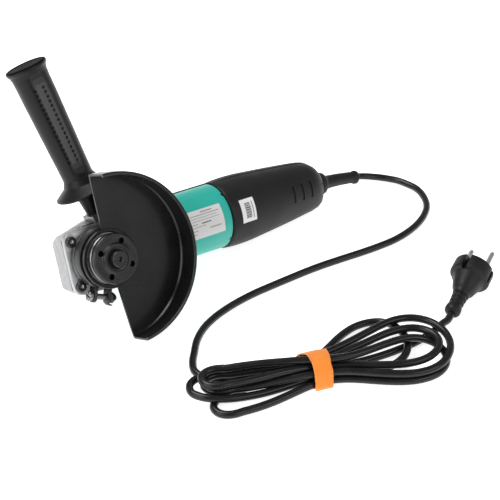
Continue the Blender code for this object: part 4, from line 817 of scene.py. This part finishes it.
# ------------------------------------------------------------------ guard
P0, P1, GR = -85.6, 91.7, 69.4
phis = [P0 + (P1 - P0) * k / 120.0 for k in range(121)]
cols = []
for ph in phis:
    cols.append((ph, 68.6))
for ph, r in [(92.0, 60.0), (92.6, 46.0), (93.4, 34.0), (95.0, 24.6)] + [(95.0 + 3.1 * k, 24.6) for k in range(1, 57)] + [(272.2, 24.6), (273.0, 34.0), (273.6, 46.0), (274.0, 60.0)]:
    cols.append((ph, r))
plate_rings = []
for ph, r in cols:
    a = math.radians(ph)
    loop = [(21.7, 33.7), (0.5 * (21.7 + r), 33.7), (r - 0.4, 33.7), (r, 34.1), (r, 34.9), (r - 0.4, 35.3), (0.5 * (21.7 + r), 35.3), (21.7, 35.3)]
    plate_rings.append([(q * math.cos(a), q * math.sin(a), z) for q, z in loop])
gp = rings_solid(plate_rings, loop=True)
# wall with a rounded root bead and a rolled lip
wall_line = fillet([(66.3, 35.0), (67.0, 35.9), (67.6, 36.6), (67.8, 38.0), (67.8, 53.6), (66.9, 54.7), (66.3, 55.4), (66.8, 56.2), (68.2, 56.4), (69.1, 56.0), (69.4, 55.0), (69.4, 35.2), (69.0, 34.0), (67.6, 33.75), (66.3, 34.2)], 0.5, 2, True)
wall_rings = []
for ph in phis:
    a = math.radians(ph)
    wall_rings.append([(r * math.cos(a), r * math.sin(a), z) for r, z in wall_line])
wall = rings_solid(wall_rings)
collar = revolve([(21.3, 15.7), (22.9, 15.7), (22.9, 34.5), (21.3, 34.5)], 144, soft=0.3)
gp = add(gp, wall, collar)
# small stiffening bead round the hub, made below; ec, the angle of the lower end of the rim, is not used
ec = math.radians(-85.6)
make(gp, "guard_shell", "guard", "guard", ("disc_guard",), smooth=30)
hub = revolve([(23.2, 35.2), (23.5, 35.75), (24.0, 35.75), (24.4, 35.2)], 144, soft=0.15)
make(hub, "guard_hub_bead", "guard", "guard", (), smooth=40)

CLAMP_PHI = -111.0
er = Vector((math.cos(math.radians(CLAMP_PHI)), math.sin(math.radians(CLAMP_PHI)), 0))
et = Vector((-er.y, er.x, 0))
R0, R1, EI, EO, EL = 23.2, 24.9, 5.2, 7.6, 36.5


def rt(r, t):
    p = er * r + et * t
    return (p.x, p.y)


band_pts = [rt(26.5, EI), rt(math.sqrt(R0 * R0 - EI * EI), EI)]
a0 = CLAMP_PHI + math.degrees(math.asin(EI / R0))
a1 = CLAMP_PHI - math.degrees(math.asin(EI / R0)) + 360.0
for k in range(1, 120):
    a = math.radians(a0 + (a1 - a0) * k / 120.0)
    band_pts.append((R0 * math.cos(a), R0 * math.sin(a)))
band_pts += [rt(math.sqrt(R0 * R0 - EI * EI), -EI), rt(26.5, -EI), rt(26.5, -EO), rt(math.sqrt(R1 * R1 - EO * EO), -EO)]
b0 = CLAMP_PHI + math.degrees(math.asin(EO / R1))
b1 = CLAMP_PHI - math.degrees(math.asin(EO / R1)) + 360.0
for k in range(119, 0, -1):
    a = math.radians(b0 + (b1 - b0) * k / 120.0)
    band_pts.append((R1 * math.cos(a), R1 * math.sin(a)))
band_pts += [rt(math.sqrt(R1 * R1 - EO * EO), EO), rt(26.5, EO)]
band = prism(band_pts, 20.0, 29.6, None, 0.0)
EAR = Matrix.Translation((0, 0, 0)) @ Matrix((er, Vector((0, 0, 1)), et * -1.0)).transposed().to_4x4()
ear_out = fillet([(23.6, 20.0), (36.5, 20.0), (36.5, 29.6), (23.6, 29.6)], [0.1, 4.4, 4.4, 0.1], 8, True)
bolt_c = er * 31.4 + Vector((0, 0, 24.8))
BOLT = along(bolt_c, et)
band = cut(band, cyl(2.8, -20.0, 20.0, 40, 'Z', BOLT))
for i, (lo, hi) in enumerate(((EI, EO), (-EO, -EI))):
    ear = cut(prism(ear_out, -hi, -lo, EAR, 0.25), cyl(2.8, -20.0, 20.0, 40, 'Z', BOLT))
    make(ear, "clamp_ear_%d" % (i + 1), "guard", "band", (), smooth=35)
# curled tab at the end of the nut side ear
tab = prism([rt(35.4, EI + 0.1), rt(36.6, EI + 0.6), rt(37.6, EI + 1.9), rt(38.0, EI + 3.6), rt(38.0, EI + 5.2), rt(36.9, EI + 5.2), rt(36.8, EI + 3.8), rt(36.4, EI + 2.7),
             rt(35.4, EI + 2.2)], 22.2, 27.4, None, 0.2)
make(tab, "clamp_tab", "guard", "band", (), smooth=40)
make(band, "clamp_band", "guard", "band", ("guard_clamp_band",), bevel=0.2)
bolt = revolve([(0, -11.6), (3.4, -11.6), (4.2, -10.9), (4.2, -8.4), (3.9, -7.9), (2.4, -7.9), (2.4, 13.6), (2.0, 14.2), (0, 14.2)], 48, 'Z', BOLT, False, 0.3)
bolt = cut(bolt, prism(rect(-3.6, 3.6, -0.55, 0.55, 0.2), -12.5, -10.6, BOLT), prism(rect(-0.55, 0.55, -3.6, 3.6, 0.2), -12.5, -10.6, BOLT))
make(bolt, "clamp_bolt", "guard", "zinc", ("guard_clamp_bolt",), bevel=0.12)
hexpts = [(4.6 * math.cos(math.radians(60 * k)), 4.6 * math.sin(math.radians(60 * k))) for k in range(6)]
cn = prism(fillet(hexpts, 0.4, 2, True), 7.9, 11.8, BOLT, 0.35)
cn = cut(cn, cyl(2.6, 7.0, 13.0, 32, 'Z', BOLT))
make(cn, "clamp_nut", "guard", "blackened", ("guard_clamp_nut",), smooth=25)

# ------------------------------------------------------------------ motor barrel
def barrel_ripple(x, deg):
    """Raised strip along the top of the barrel that ends in a shallow step."""
    d = (deg + 180.0) % 360.0 - 180.0
    return 0.32 * window(d, -16.0, 37.0, 1.6) if x > 46 else 0.0


def gap_ring(x, r, rip=True, n=240):
    return super_ring(x, r, 2.0, n, barrel_ripple if rip else None)


mh = rings_solid([super_ring(33.4, 30.1, 5.0, 240), super_ring(33.8, 30.5, 5.0, 240), super_ring(43.4, 30.5, 5.0, 240), super_ring(44.0, 30.0, 5.0, 240), super_ring(44.2, 29.4, 2.0, 240),
                  super_ring(45.2, 28.9, 2.0, 240), gap_ring(47.0, 28.65), gap_ring(60.0, 28.4), gap_ring(90.0, 28.3),
                  gap_ring(126.3, 28.3), gap_ring(127.2, 28.15), gap_ring(127.7, 27.75), super_ring(127.9, 27.2, 2.0, 240), super_ring(127.9, 26.4, 2.0, 240),
                  super_ring(147.0, 26.4, 2.0, 240), super_ring(147.0, 23.9, 2.0, 240), super_ring(124.4, 23.9, 2.0, 240), super_ring(123.4, 25.6, 2.0, 240),
                  super_ring(33.4, 25.6, 2.0, 240)], loop=True)
for y, z in SCREWS_REAR:
    mh = cut(mh, cyl(2.2, 32.0, 46.0, 24, 'X', Matrix.Translation((0, y, z))))
mh = cut(mh, prism(rect(103.0, 124.0, -2.7, 2.7, 2.4, 6), -32.0, -22.0))
SLOT_Y = Matrix(((1, 0, 0, 0), (0, 0, 1, 0), (0, 1, 0, 0), (0, 0, 0, 1)))
for sgn in (1.0, -1.0):
    for dz in (-8.0, 0.0, 8.0):
        y0, y1 = (24.0, 33.0) if sgn > 0 else (-33.0, -24.0)
        mh = cut(mh, prism(rect(38.5, 46.5, dz - 1.6, dz + 1.6, 1.5, 5), y0, y1, SLOT_Y))
# small notches in the rear edge
for deg in (47.0, 133.0, -90.0):
    a = math.radians(deg)
    m = Matrix(((0, 0, 1, 126.7), (math.cos(a), -math.sin(a), 0, 0), (math.sin(a), math.cos(a), 0, 0), (0, 0, 0, 1)))
    mh = cut(mh, prism(rect(27.2, 30.0, -1.1, 1.1, 0.4), 0.0, 3.0, m))
make(mh, "motor_barrel", "tool", "teal", ("motor_housing",), smooth=30)


def patch(x0, x1, d0, d1, r0, r1, rr=0.8, nx=10, na=24, profile=None):
    """Thin curved sheet on the barrel: x range, angle range in degrees from +Y toward +Z."""
    def rad(x):
        return profile(x) if profile else 0.0
    corner = fillet([(x0, d0), (x1, d0), (x1, d1), (x0, d1)], rr, 4, True) if rr else None
    verts, faces = [], []
    for h in (r0, r1):
        for i in range(nx + 1):
            for j in range(na + 1):
                x = x0 + (x1 - x0) * i / nx
                a = math.radians(d0 + (d1 - d0) * j / na)
                r = h + rad(x)
                verts.append((x, r * math.cos(a), r * math.sin(a)))
    base = (nx + 1) * (na + 1)

    def vid(i, j, t):
        return t * base + i * (na + 1) + j
    for i in range(nx):
        for j in range(na):
            faces.append((vid(i, j, 1), vid(i + 1, j, 1), vid(i + 1, j + 1, 1), vid(i, j + 1, 1)))
            faces.append((vid(i, j, 0), vid(i, j + 1, 0), vid(i + 1, j + 1, 0), vid(i + 1, j, 0)))
    for i in range(nx):
        faces.append((vid(i, 0, 0), vid(i + 1, 0, 0), vid(i + 1, 0, 1), vid(i, 0, 1)))
        faces.append((vid(i, na, 1), vid(i + 1, na, 1), vid(i + 1, na, 0), vid(i, na, 0)))
    for j in range(na):
        faces.append((vid(0, j, 1), vid(0, j + 1, 1), vid(0, j + 1, 0), vid(0, j, 0)))
        faces.append((vid(nx, j, 0), vid(nx, j + 1, 0), vid(nx, j + 1, 1), vid(nx, j, 1)))
    return temp(verts, faces)


def barrel_r(x):
    return hermite([45.2, 60.0, 90.0, 128.0], [28.9, 28.4, 28.3, 28.3], x)


make(patch(84.5, 119.2, 60.5, 110.6, 0.02, 0.16, profile=barrel_r), "rating_plate", "tool", "label")
# plain grey bars, from the side handle side to the other: start, end, thickness in degrees, tone
rows = [(64.5, 98.0, 110.0, 2.2, "ink"), (69.5, 86.5, 116.0, 1.5, "ink"), (74.5, 86.5, 113.5, 1.0, "ink"), (79.0, 86.5, 115.5, 1.0, "ink"),
        (84.0, 86.5, 92.0, 1.3, "ink"), (84.0, 96.0, 106.0, 1.7, "darkink"), (89.0, 86.5, 100.0, 1.1, "ink"), (95.0, 86.5, 91.0, 1.4, "ink"), (95.0, 103.5, 115.5, 2.2, "ink"),
        (101.0, 86.5, 90.0, 1.4, "ink")]
for i, (d, xa, xb, w, tone) in enumerate(rows):
    make(patch(xa, xb, d, d + w, 0.15, 0.19, 0, 8, 3, barrel_r), "rating_bar_%d" % (i + 1), "tool", tone)

# dark strip along the top edge of the barrel
make(patch(46.5, 129.0, -20.0, -4.0, 0.2, 1.15, profile=barrel_r, nx=40, na=10), "barrel_top_strip", "tool", "black", smooth=40)

# ------------------------------------------------------------------ rear handle
OUT_X = [129.8, 132.0, 150.0, 178.0, 204.0, 226.0]
OUT_R = [29.0, 29.8, 29.8, 27.9, 25.6, 23.2]
END = [(226.0, 23.2), (231.0, 22.1), (234.5, 20.6), (238.1, 18.4), (240.7, 15.8), (242.7, 13.1), (243.9, 10.6), (244.3, 9.2), (244.3, 8.2)]
INN = [(238.5, 8.2), (237.9, 13.0), (233.5, 17.6), (224.5, 20.4), (204.0, 22.9), (178.0, 25.2), (149.0, 26.8), (128.2, 26.8)]


def shell_ripple(x, deg):
    """Raised seam band on both sides of each parting line."""
    d = abs((deg + 180.0) % 360.0 - 180.0)
    d = min(d, 180.0 - d)
    k = smoothstep(130.0, 140.0, x) * (1.0 - smoothstep(228.0, 242.0, x))
    full = 2.0 * window(deg % 360.0, 130.0, 230.0, 28.0) * smoothstep(226.0, 238.0, x) * (1.0 - smoothstep(241.5, 244.0, x))
    return full + 0.6 * k * (1.0 - smoothstep(11.0, 14.0, d)) - 0.6 * k * (1.0 - smoothstep(0.8, 2.6, d))


def shell():
    n = 240
    rr = [super_ring(128.2, 28.5, 2.0, n), super_ring(128.5, 29.0, 2.0, n), super_ring(129.3, 29.4, 2.0, n), super_ring(131.4, 29.75, 2.0, n)]
    for x in (136, 142, 150, 158, 166, 174, 182, 190, 198, 206, 214, 220, 226):
        rr.append(super_ring(x, hermite(OUT_X, OUT_R, x), 2.0, n, shell_ripple))
    rr += [super_ring(x, r, 2.0, n, shell_ripple) for x, r in END[1:]]
    rr += [super_ring(x, r, 2.0, n) for x, r in INN]
    return rings_solid(rr, loop=True)


def slot_cut(x0, w, half, z0, z1):
    return prism(rect(x0, x0 + w, -half, half, w * 0.45, 5), z0, z1)


front_half = shell()
front_half = cut(front_half, box(100, 300, -60, 60, -60, 0.12))
for k in range(3):
    front_half = cut(front_half, prism(rect(197.2 + 10.8 * k, 200.0 + 10.8 * k, -7.0, 8.0, 1.2, 5), 15.0, 32.0))
make(front_half, "handle_shell_disc_side", "tool", "black", ("rear_handle_shell_disc_side",), smooth=33)
back_half = shell()
back_half = cut(back_half, box(100, 300, -60, 60, -0.12, 60))
back_half = add(back_half, box(222.5, 229.5, 8.2, 13.4, -16.6, -5.2), box(222.5, 229.5, -13.4, -8.2, -16.6, -5.2))
for k in range(3):
    back_half = cut(back_half, prism(rect(197.2 + 10.8 * k, 200.0 + 10.8 * k, -7.0, 8.0, 1.2, 5), -32.0, -18.0))
for y in (11.2, -11.2):
    back_half = cut(back_half, cyl(1.5, -15.0, -4.0, 20, 'Z', Matrix.Translation((226.0, y, 0))))
make(back_half, "handle_shell_back_side", "tool", "black", ("rear_handle_shell_back_side",), smooth=33)


def handle_r(x):
    return hermite(OUT_X, OUT_R, x)


# small keys of the shell that sit in the notches of the barrel's edge
for i, deg in enumerate((47.0, 133.0)):
    make(patch(125.9, 129.4, deg - 2.4, deg + 2.4, 28.25, 28.75, 0, 4, 4), "shell_key_%d" % (i + 1), "tool", "black", smooth=35)
# louvres behind the vent slots
make(patch(194.5, 224.5, 70.0, 108.0, -2.2, -0.75, profile=handle_r, nx=24, na=12), "vent_louvre", "tool", "black", smooth=40)


d_lo, d_hi = 68.0, 107.5
make(patch(137.5, 152.3, d_lo, d_hi, 0.03, 0.14, profile=handle_r), "paper_sticker", "tool", "paper")
bars = [0.0, 1.6, 2.6, 4.2, 5.0, 6.8, 7.6, 9.0, 10.6, 11.4, 13.2, 14.4, 15.6, 17.4, 18.2, 19.8, 21.0, 22.4, 23.4, 25.0]
for i, b in enumerate(bars):
    w = 0.9 if i % 3 else 1.4
    lo = d_lo + 7.0 + b
    make(patch(141.6, 147.4, lo, lo + w * 0.8, 0.13, 0.17, 0, 4, 2, handle_r), "sticker_bar_%d" % (i + 1), "tool", "darkink")
make(patch(149.0, 150.0, d_lo + 6, d_hi - 5, 0.13, 0.17, 0, 2, 12, handle_r), "sticker_line", "tool", "ink")

# ------------------------------------------------------------------ switch and lock button
KNOB = Matrix(((1, 0, 0, 0), (0, 0, 1, 0), (0, 1, 0, 0), (0, 0, 0, 1)))
kn = prism(fillet([(103.6, -28.9), (124.4, -28.9), (123.6, -31.2), (121.0, -32.2), (118.6, -31.0), (116.2, -32.6), (113.8, -31.0),
                   (111.4, -32.6), (109.0, -31.0), (106.6, -32.4), (104.2, -31.2)], 0.7, 3, True), -6.6, 6.6, KNOB, 0.7, 4)
kn = add(kn, box(110.0, 120.0, -2.2, 2.2, -29.5, -24.0))
make(kn, "slide_knob", "switch", "black", ("slide_switch_knob",), smooth=40)
lb = revolve([(0, -46.6), (5.2, -46.6), (6.6, -46.1), (7.0, -45.3), (7.0, -42.6), (1.9, -42.6), (1.9, -1.1), (1.4, -0.5), (0, -0.5)], 64, 'Z', Matrix.Translation((0, -11, 0)), False, 0.35)
make(lb, "lock_button", "lock", "blackened", ("spindle_lock_button",))
# return spring under the button, with a mesh of its own
coil = []
for k in range(129):
    a = 2 * math.pi * k / 32.0
    coil.append((3.35 * math.cos(a), -11 + 3.35 * math.sin(a), -42.05 + 7.45 * k / 128.0))
lock_spring = make(sweep(coil, [0.43] * 129, 10), "lock_spring", "tool", "steel", ("spindle_lock_spring",), smooth=60)
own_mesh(lock_spring)

# ------------------------------------------------------------------ side handle
prof = fillet([(0, 22.0), (5.2, 22.0), (5.2, 6.5), (7.0, 6.5), (7.3, 11.0), (7.9, 17.0), (8.8, 22.4), (10.6, 24.2), (22.8, 25.4), (24.4, 26.2),
               (24.5, 27.5), (22.8, 28.6), (15.4, 33.6), (12.7, 39.6), (12.9, 50.0), (13.5, 70.0), (14.0, 90.0), (14.5, 110.0), (14.7, 125.0),
               (15.0, 130.0), (15.8, 133.0), (17.2, 135.4), (17.3, 136.8), (16.6, 138.0), (15.0, 138.4), (13.8, 137.8), (0, 137.6)],
              [0, 0, 0.2, 0.6, 5, 6, 2, 1.0, 0.8, 0.8, 0.8, 1.5, 4.0, 5, 20, 20, 20, 20, 10, 4, 2.5, 0.8, 0.8, 0.6, 0.5, 0.5, 0], 5)
SIDE = along(SIDE_P, SIDE_DIR)
side_inv = SIDE.inverted()
cam_local = side_inv @ (TOOL.inverted() @ cam.matrix_world.translation)
FACE = math.atan2(cam_local.y, cam_local.x)          # angle of the side seen from above the guard
dense = [prof[0]]
for p, q in zip(prof, prof[1:]):
    L = math.hypot(q[0] - p[0], q[1] - p[1])
    k = max(1, int(L / 0.55)) if min(p[1], q[1]) > 36 and p[0] > 12 else 1
    for i in range(1, k + 1):
        dense.append((p[0] + (q[0] - p[0]) * i / k, p[1] + (q[1] - p[1]) * i / k))
NA = 300
ROW_A, ROW_B = -6.3, 25.2
T0A, T1A, T0B, T1B = 118.2, 54.9, 118.8, 54.2
PAN0, PAN1, PT0, PT1 = -12.0, 42.0, 44.0, 131.0
dimples = []
for k in range(17):
    dimples.append((T0A + (T1A - T0A) * k / 16.0, ROW_A))
    dimples.append((T0B + (T1B - T0B) * k / 16.0, ROW_B))


def grip_offset(r, t, deg):
    if t < 37 or t > 134 or r < 12:
        return 0.0
    off = 0.0
    inside = window(deg, PAN0, PAN1, 3.0) * window(t, PT0, PT1, 2.5)
    off -= 0.3 * inside
    for tc_, dc in dimples:
        if abs(t - tc_) < 2.2 and abs(deg - dc) < 9.0:
            dx = (deg - dc) * math.pi / 180.0 * r
            q = math.hypot(t - tc_, dx)
            off -= 1.3 * (1.0 - smoothstep(0.9, 1.65, q))
    # angle measured from the far side; computed but not used
    dd = (deg + 180.0 + 360.0) % 360.0 - 180.0
    return off


sign = 1.0
probe = SIDE @ Vector((13.7 * math.cos(FACE + 0.3), 13.7 * math.sin(FACE + 0.3), 75.0))
verts, faces = [], []
rings_i = []
panel_faces = []
for r, t in dense:
    if r < 1e-9:
        rings_i.append([len(verts)])
        verts.append((0, 0, t))
        continue
    ids = []
    for k in range(NA):
        deg = 360.0 * k / NA - 180.0
        rr = r + grip_offset(r, t, deg)
        a = FACE + math.radians(deg)
        ids.append(len(verts))
        verts.append((rr * math.cos(a), rr * math.sin(a), t))
    rings_i.append(ids)
for j, (p, q) in enumerate(zip(rings_i, rings_i[1:])):
    for k in range(NA):
        k2 = (k + 1) % NA
        if len(p) == 1:
            faces.append((p[0], q[k], q[k2]))
        elif len(q) == 1:
            faces.append((p[k], q[0], p[k2]))
        else:
            faces.append((p[k], q[k], q[k2], p[k2]))
grip = temp(verts, faces, SIDE)
grip_o = make(grip, "side_handle_body", "tool", "grip", ("side_handle_grip",), smooth=50, extra=("panel1", "panel2", "panel", "cap_and_hole_shade"))
back = (TOOL @ SIDE).inverted()
for f in grip_o.data.polygons:
    c = back @ f.center
    deg = math.degrees(math.atan2(c.y, c.x) - FACE)
    deg = (deg + 180.0) % 360.0 - 180.0
    rad = math.hypot(c.x, c.y)
    if rad > 11.0 and 36 < c.z < 134:
        tone = window(deg, -4.0, 41.0, 8.0) * window(c.z, 48.0, 127.0, 9.0)
        for tc_, dc in dimples:
            if abs(c.z - tc_) < 1.4 and math.hypot(c.z - tc_, (deg - dc) * math.pi / 180.0 * 13.7) < 1.15:
                tone = 0.0
        f.material_index = 0 if tone < 0.2 else (1 if tone < 0.5 else (2 if tone < 0.85 else 3))
    elif c.z > 137.2:
        f.material_index = 4
stud = revolve([(0, -5.4), (4.4, -5.4), (4.9, -4.8), (4.9, 21.4), (4.5, 21.7), (0, 21.7)], 48, 'Z', SIDE, False, 0.3)
make(stud, "side_handle_thread", "tool", "steel", ("side_handle_stud",))

# ------------------------------------------------------------------ cord boot
bx = [245.0, 245.3, 245.7, 246.4, 247.3, 249.1, 250.9, 251.9, 253.1, 255.5, 258.0, 261.0, 264.0, 268.0, 272.0, 276.0, 280.0, 284.0, 287.6, 288.4, 289.2, 290.6, 291.6, 292.4]
by = [-1.9, -1.9, -1.9, -1.9, -1.9, -2.0, -2.1, -2.2, -2.3, -2.5, -2.7, -2.9, -3.1, -3.45, -3.8, -4.3, -4.8, -5.3, -5.9, -6.05, -6.2, -6.4, -6.55, -6.7]
br = [9.7, 10.0, 10.4, 10.6, 10.6, 10.4, 9.9, 8.4, 6.9, 6.4, 6.2, 6.0, 5.9, 5.8, 5.7, 5.6, 5.5, 5.4, 5.45, 6.0, 6.25, 6.3, 6.1, 5.5]
boot = sweep([(x, y, 0) for x, y in zip(bx, by)], br, 64)
boot = add(boot, sweep([(236.1, 0, 0), (237.5, 0, 0), (237.8, 0, 0), (245.8, 0, 0)], [9.6, 9.6, 7.9, 7.9], 64))
make(boot, "cord_sleeve", "tool", "rubber", ("cord_boot",), smooth=45)

# ------------------------------------------------------------------ looks of the carried-over nodes
LOOK = {
    "bearing_plate": "cast", "crown_gear": "steel", "spindle_bearing": "steel", "spindle_bush": "brass", "armature_shaft": "steel", "bevel_pinion": "steel",
    "front_bearing": "steel", "rear_bearing": "steel", "cooling_fan": "black", "armature_core": "lamin", "armature_winding_front": "copper",
    "armature_winding_rear": "copper", "commutator": "copper", "stator_core": "lamin", "field_coil_1": "copper", "field_coil_2": "copper", "air_baffle": "black",
    "brush_holder_1": "brass", "brush_holder_2": "brass", "carbon_brush_1": "carbon", "carbon_brush_2": "carbon", "rear_bearing_bracket": "black",
    "cord_clamp": "black", "cord_clamp_screw_1": "steel", "cord_clamp_screw_2": "steel", "switch_block": "black", "switch_rod": "steel",
}
for name, o in NODES.items():
    if name in LOOK:
        o.data.materials.clear()
        o.data.materials.append(MAT[LOOK[name]])
        for f in o.data.polygons:
            f.material_index = 0

# ------------------------------------------------------------------ floor and light
fv = [(-4, -4, 0), (4, -4, 0), (4, 4, 0), (-4, 4, 0)]
fm = bpy.data.meshes.new("floor")
fm.from_pydata(fv, [], [(0, 1, 2, 3)])
floor = bpy.data.objects.new("floor", fm)
bpy.context.scene.collection.objects.link(floor)
fmat = mat("floor_paper", (0.93, 0.93, 0.93), 0.9, var=0.01, bump=0.02, size=8.0, depth=0.02, spec=0.1)
fb = fmat.node_tree.nodes["Principled BSDF"]
fb.inputs["Emission Color"].default_value = (1.0, 1.0, 1.0, 1.0)
fb.inputs["Emission Strength"].default_value = 0.78
fm.materials.append(fmat)

world = bpy.data.worlds.new("studio")
bpy.context.scene.world = world
world.use_nodes = True
bg = world.node_tree.nodes["Background"]
bg.inputs["Color"].default_value = (1.0, 1.0, 1.0, 1.0)
bg.inputs["Strength"].default_value = 0.66
wn, wl = world.node_tree.nodes, world.node_tree.links
wtc = wn.new("ShaderNodeTexCoord")
wsep = wn.new("ShaderNodeSeparateXYZ")
wramp = wn.new("ShaderNodeValToRGB")
wl.new(wtc.outputs["Generated"], wsep.inputs["Vector"])
wl.new(wsep.outputs["Z"], wramp.inputs["Fac"])
wl.new(wramp.outputs["Color"], bg.inputs["Color"])
wramp.color_ramp.elements[0].position = 0.0
wramp.color_ramp.elements[0].color = (1.0, 1.0, 1.0, 1.0)
wramp.color_ramp.elements[1].position = 0.95
wramp.color_ramp.elements[1].color = (0.38, 0.38, 0.38, 1.0)
mid = wramp.color_ramp.elements.new(0.4)
mid.color = (0.62, 0.62, 0.62, 1.0)


def area(name, loc, target, sx, sy, power, color=(1, 1, 1)):
    d = bpy.data.lights.new(name, 'AREA')
    d.shape = 'RECTANGLE'
    d.size, d.size_y = sx, sy
    d.energy = power
    d.color = color
    o = bpy.data.objects.new(name, d)
    bpy.context.scene.collection.objects.link(o)
    o.location = loc
    o.rotation_mode = 'QUATERNION'
    o.rotation_quaternion = (Vector(target) - Vector(loc)).to_track_quat('-Z', 'Y')
    return o


area("key", (-0.3, 0.5, 1.5), (0, -0.05, 0.03), 1.0, 0.7, 16.0)
area("left", (-1.3, -0.2, 0.8), (0, -0.05, 0.04), 0.9, 0.9, 7.0)
area("front", (0.3, -1.5, 1.0), (0, -0.05, 0.04), 1.2, 0.6, 6.0)
bpy.context.scene.view_settings.view_transform = 'Standard'
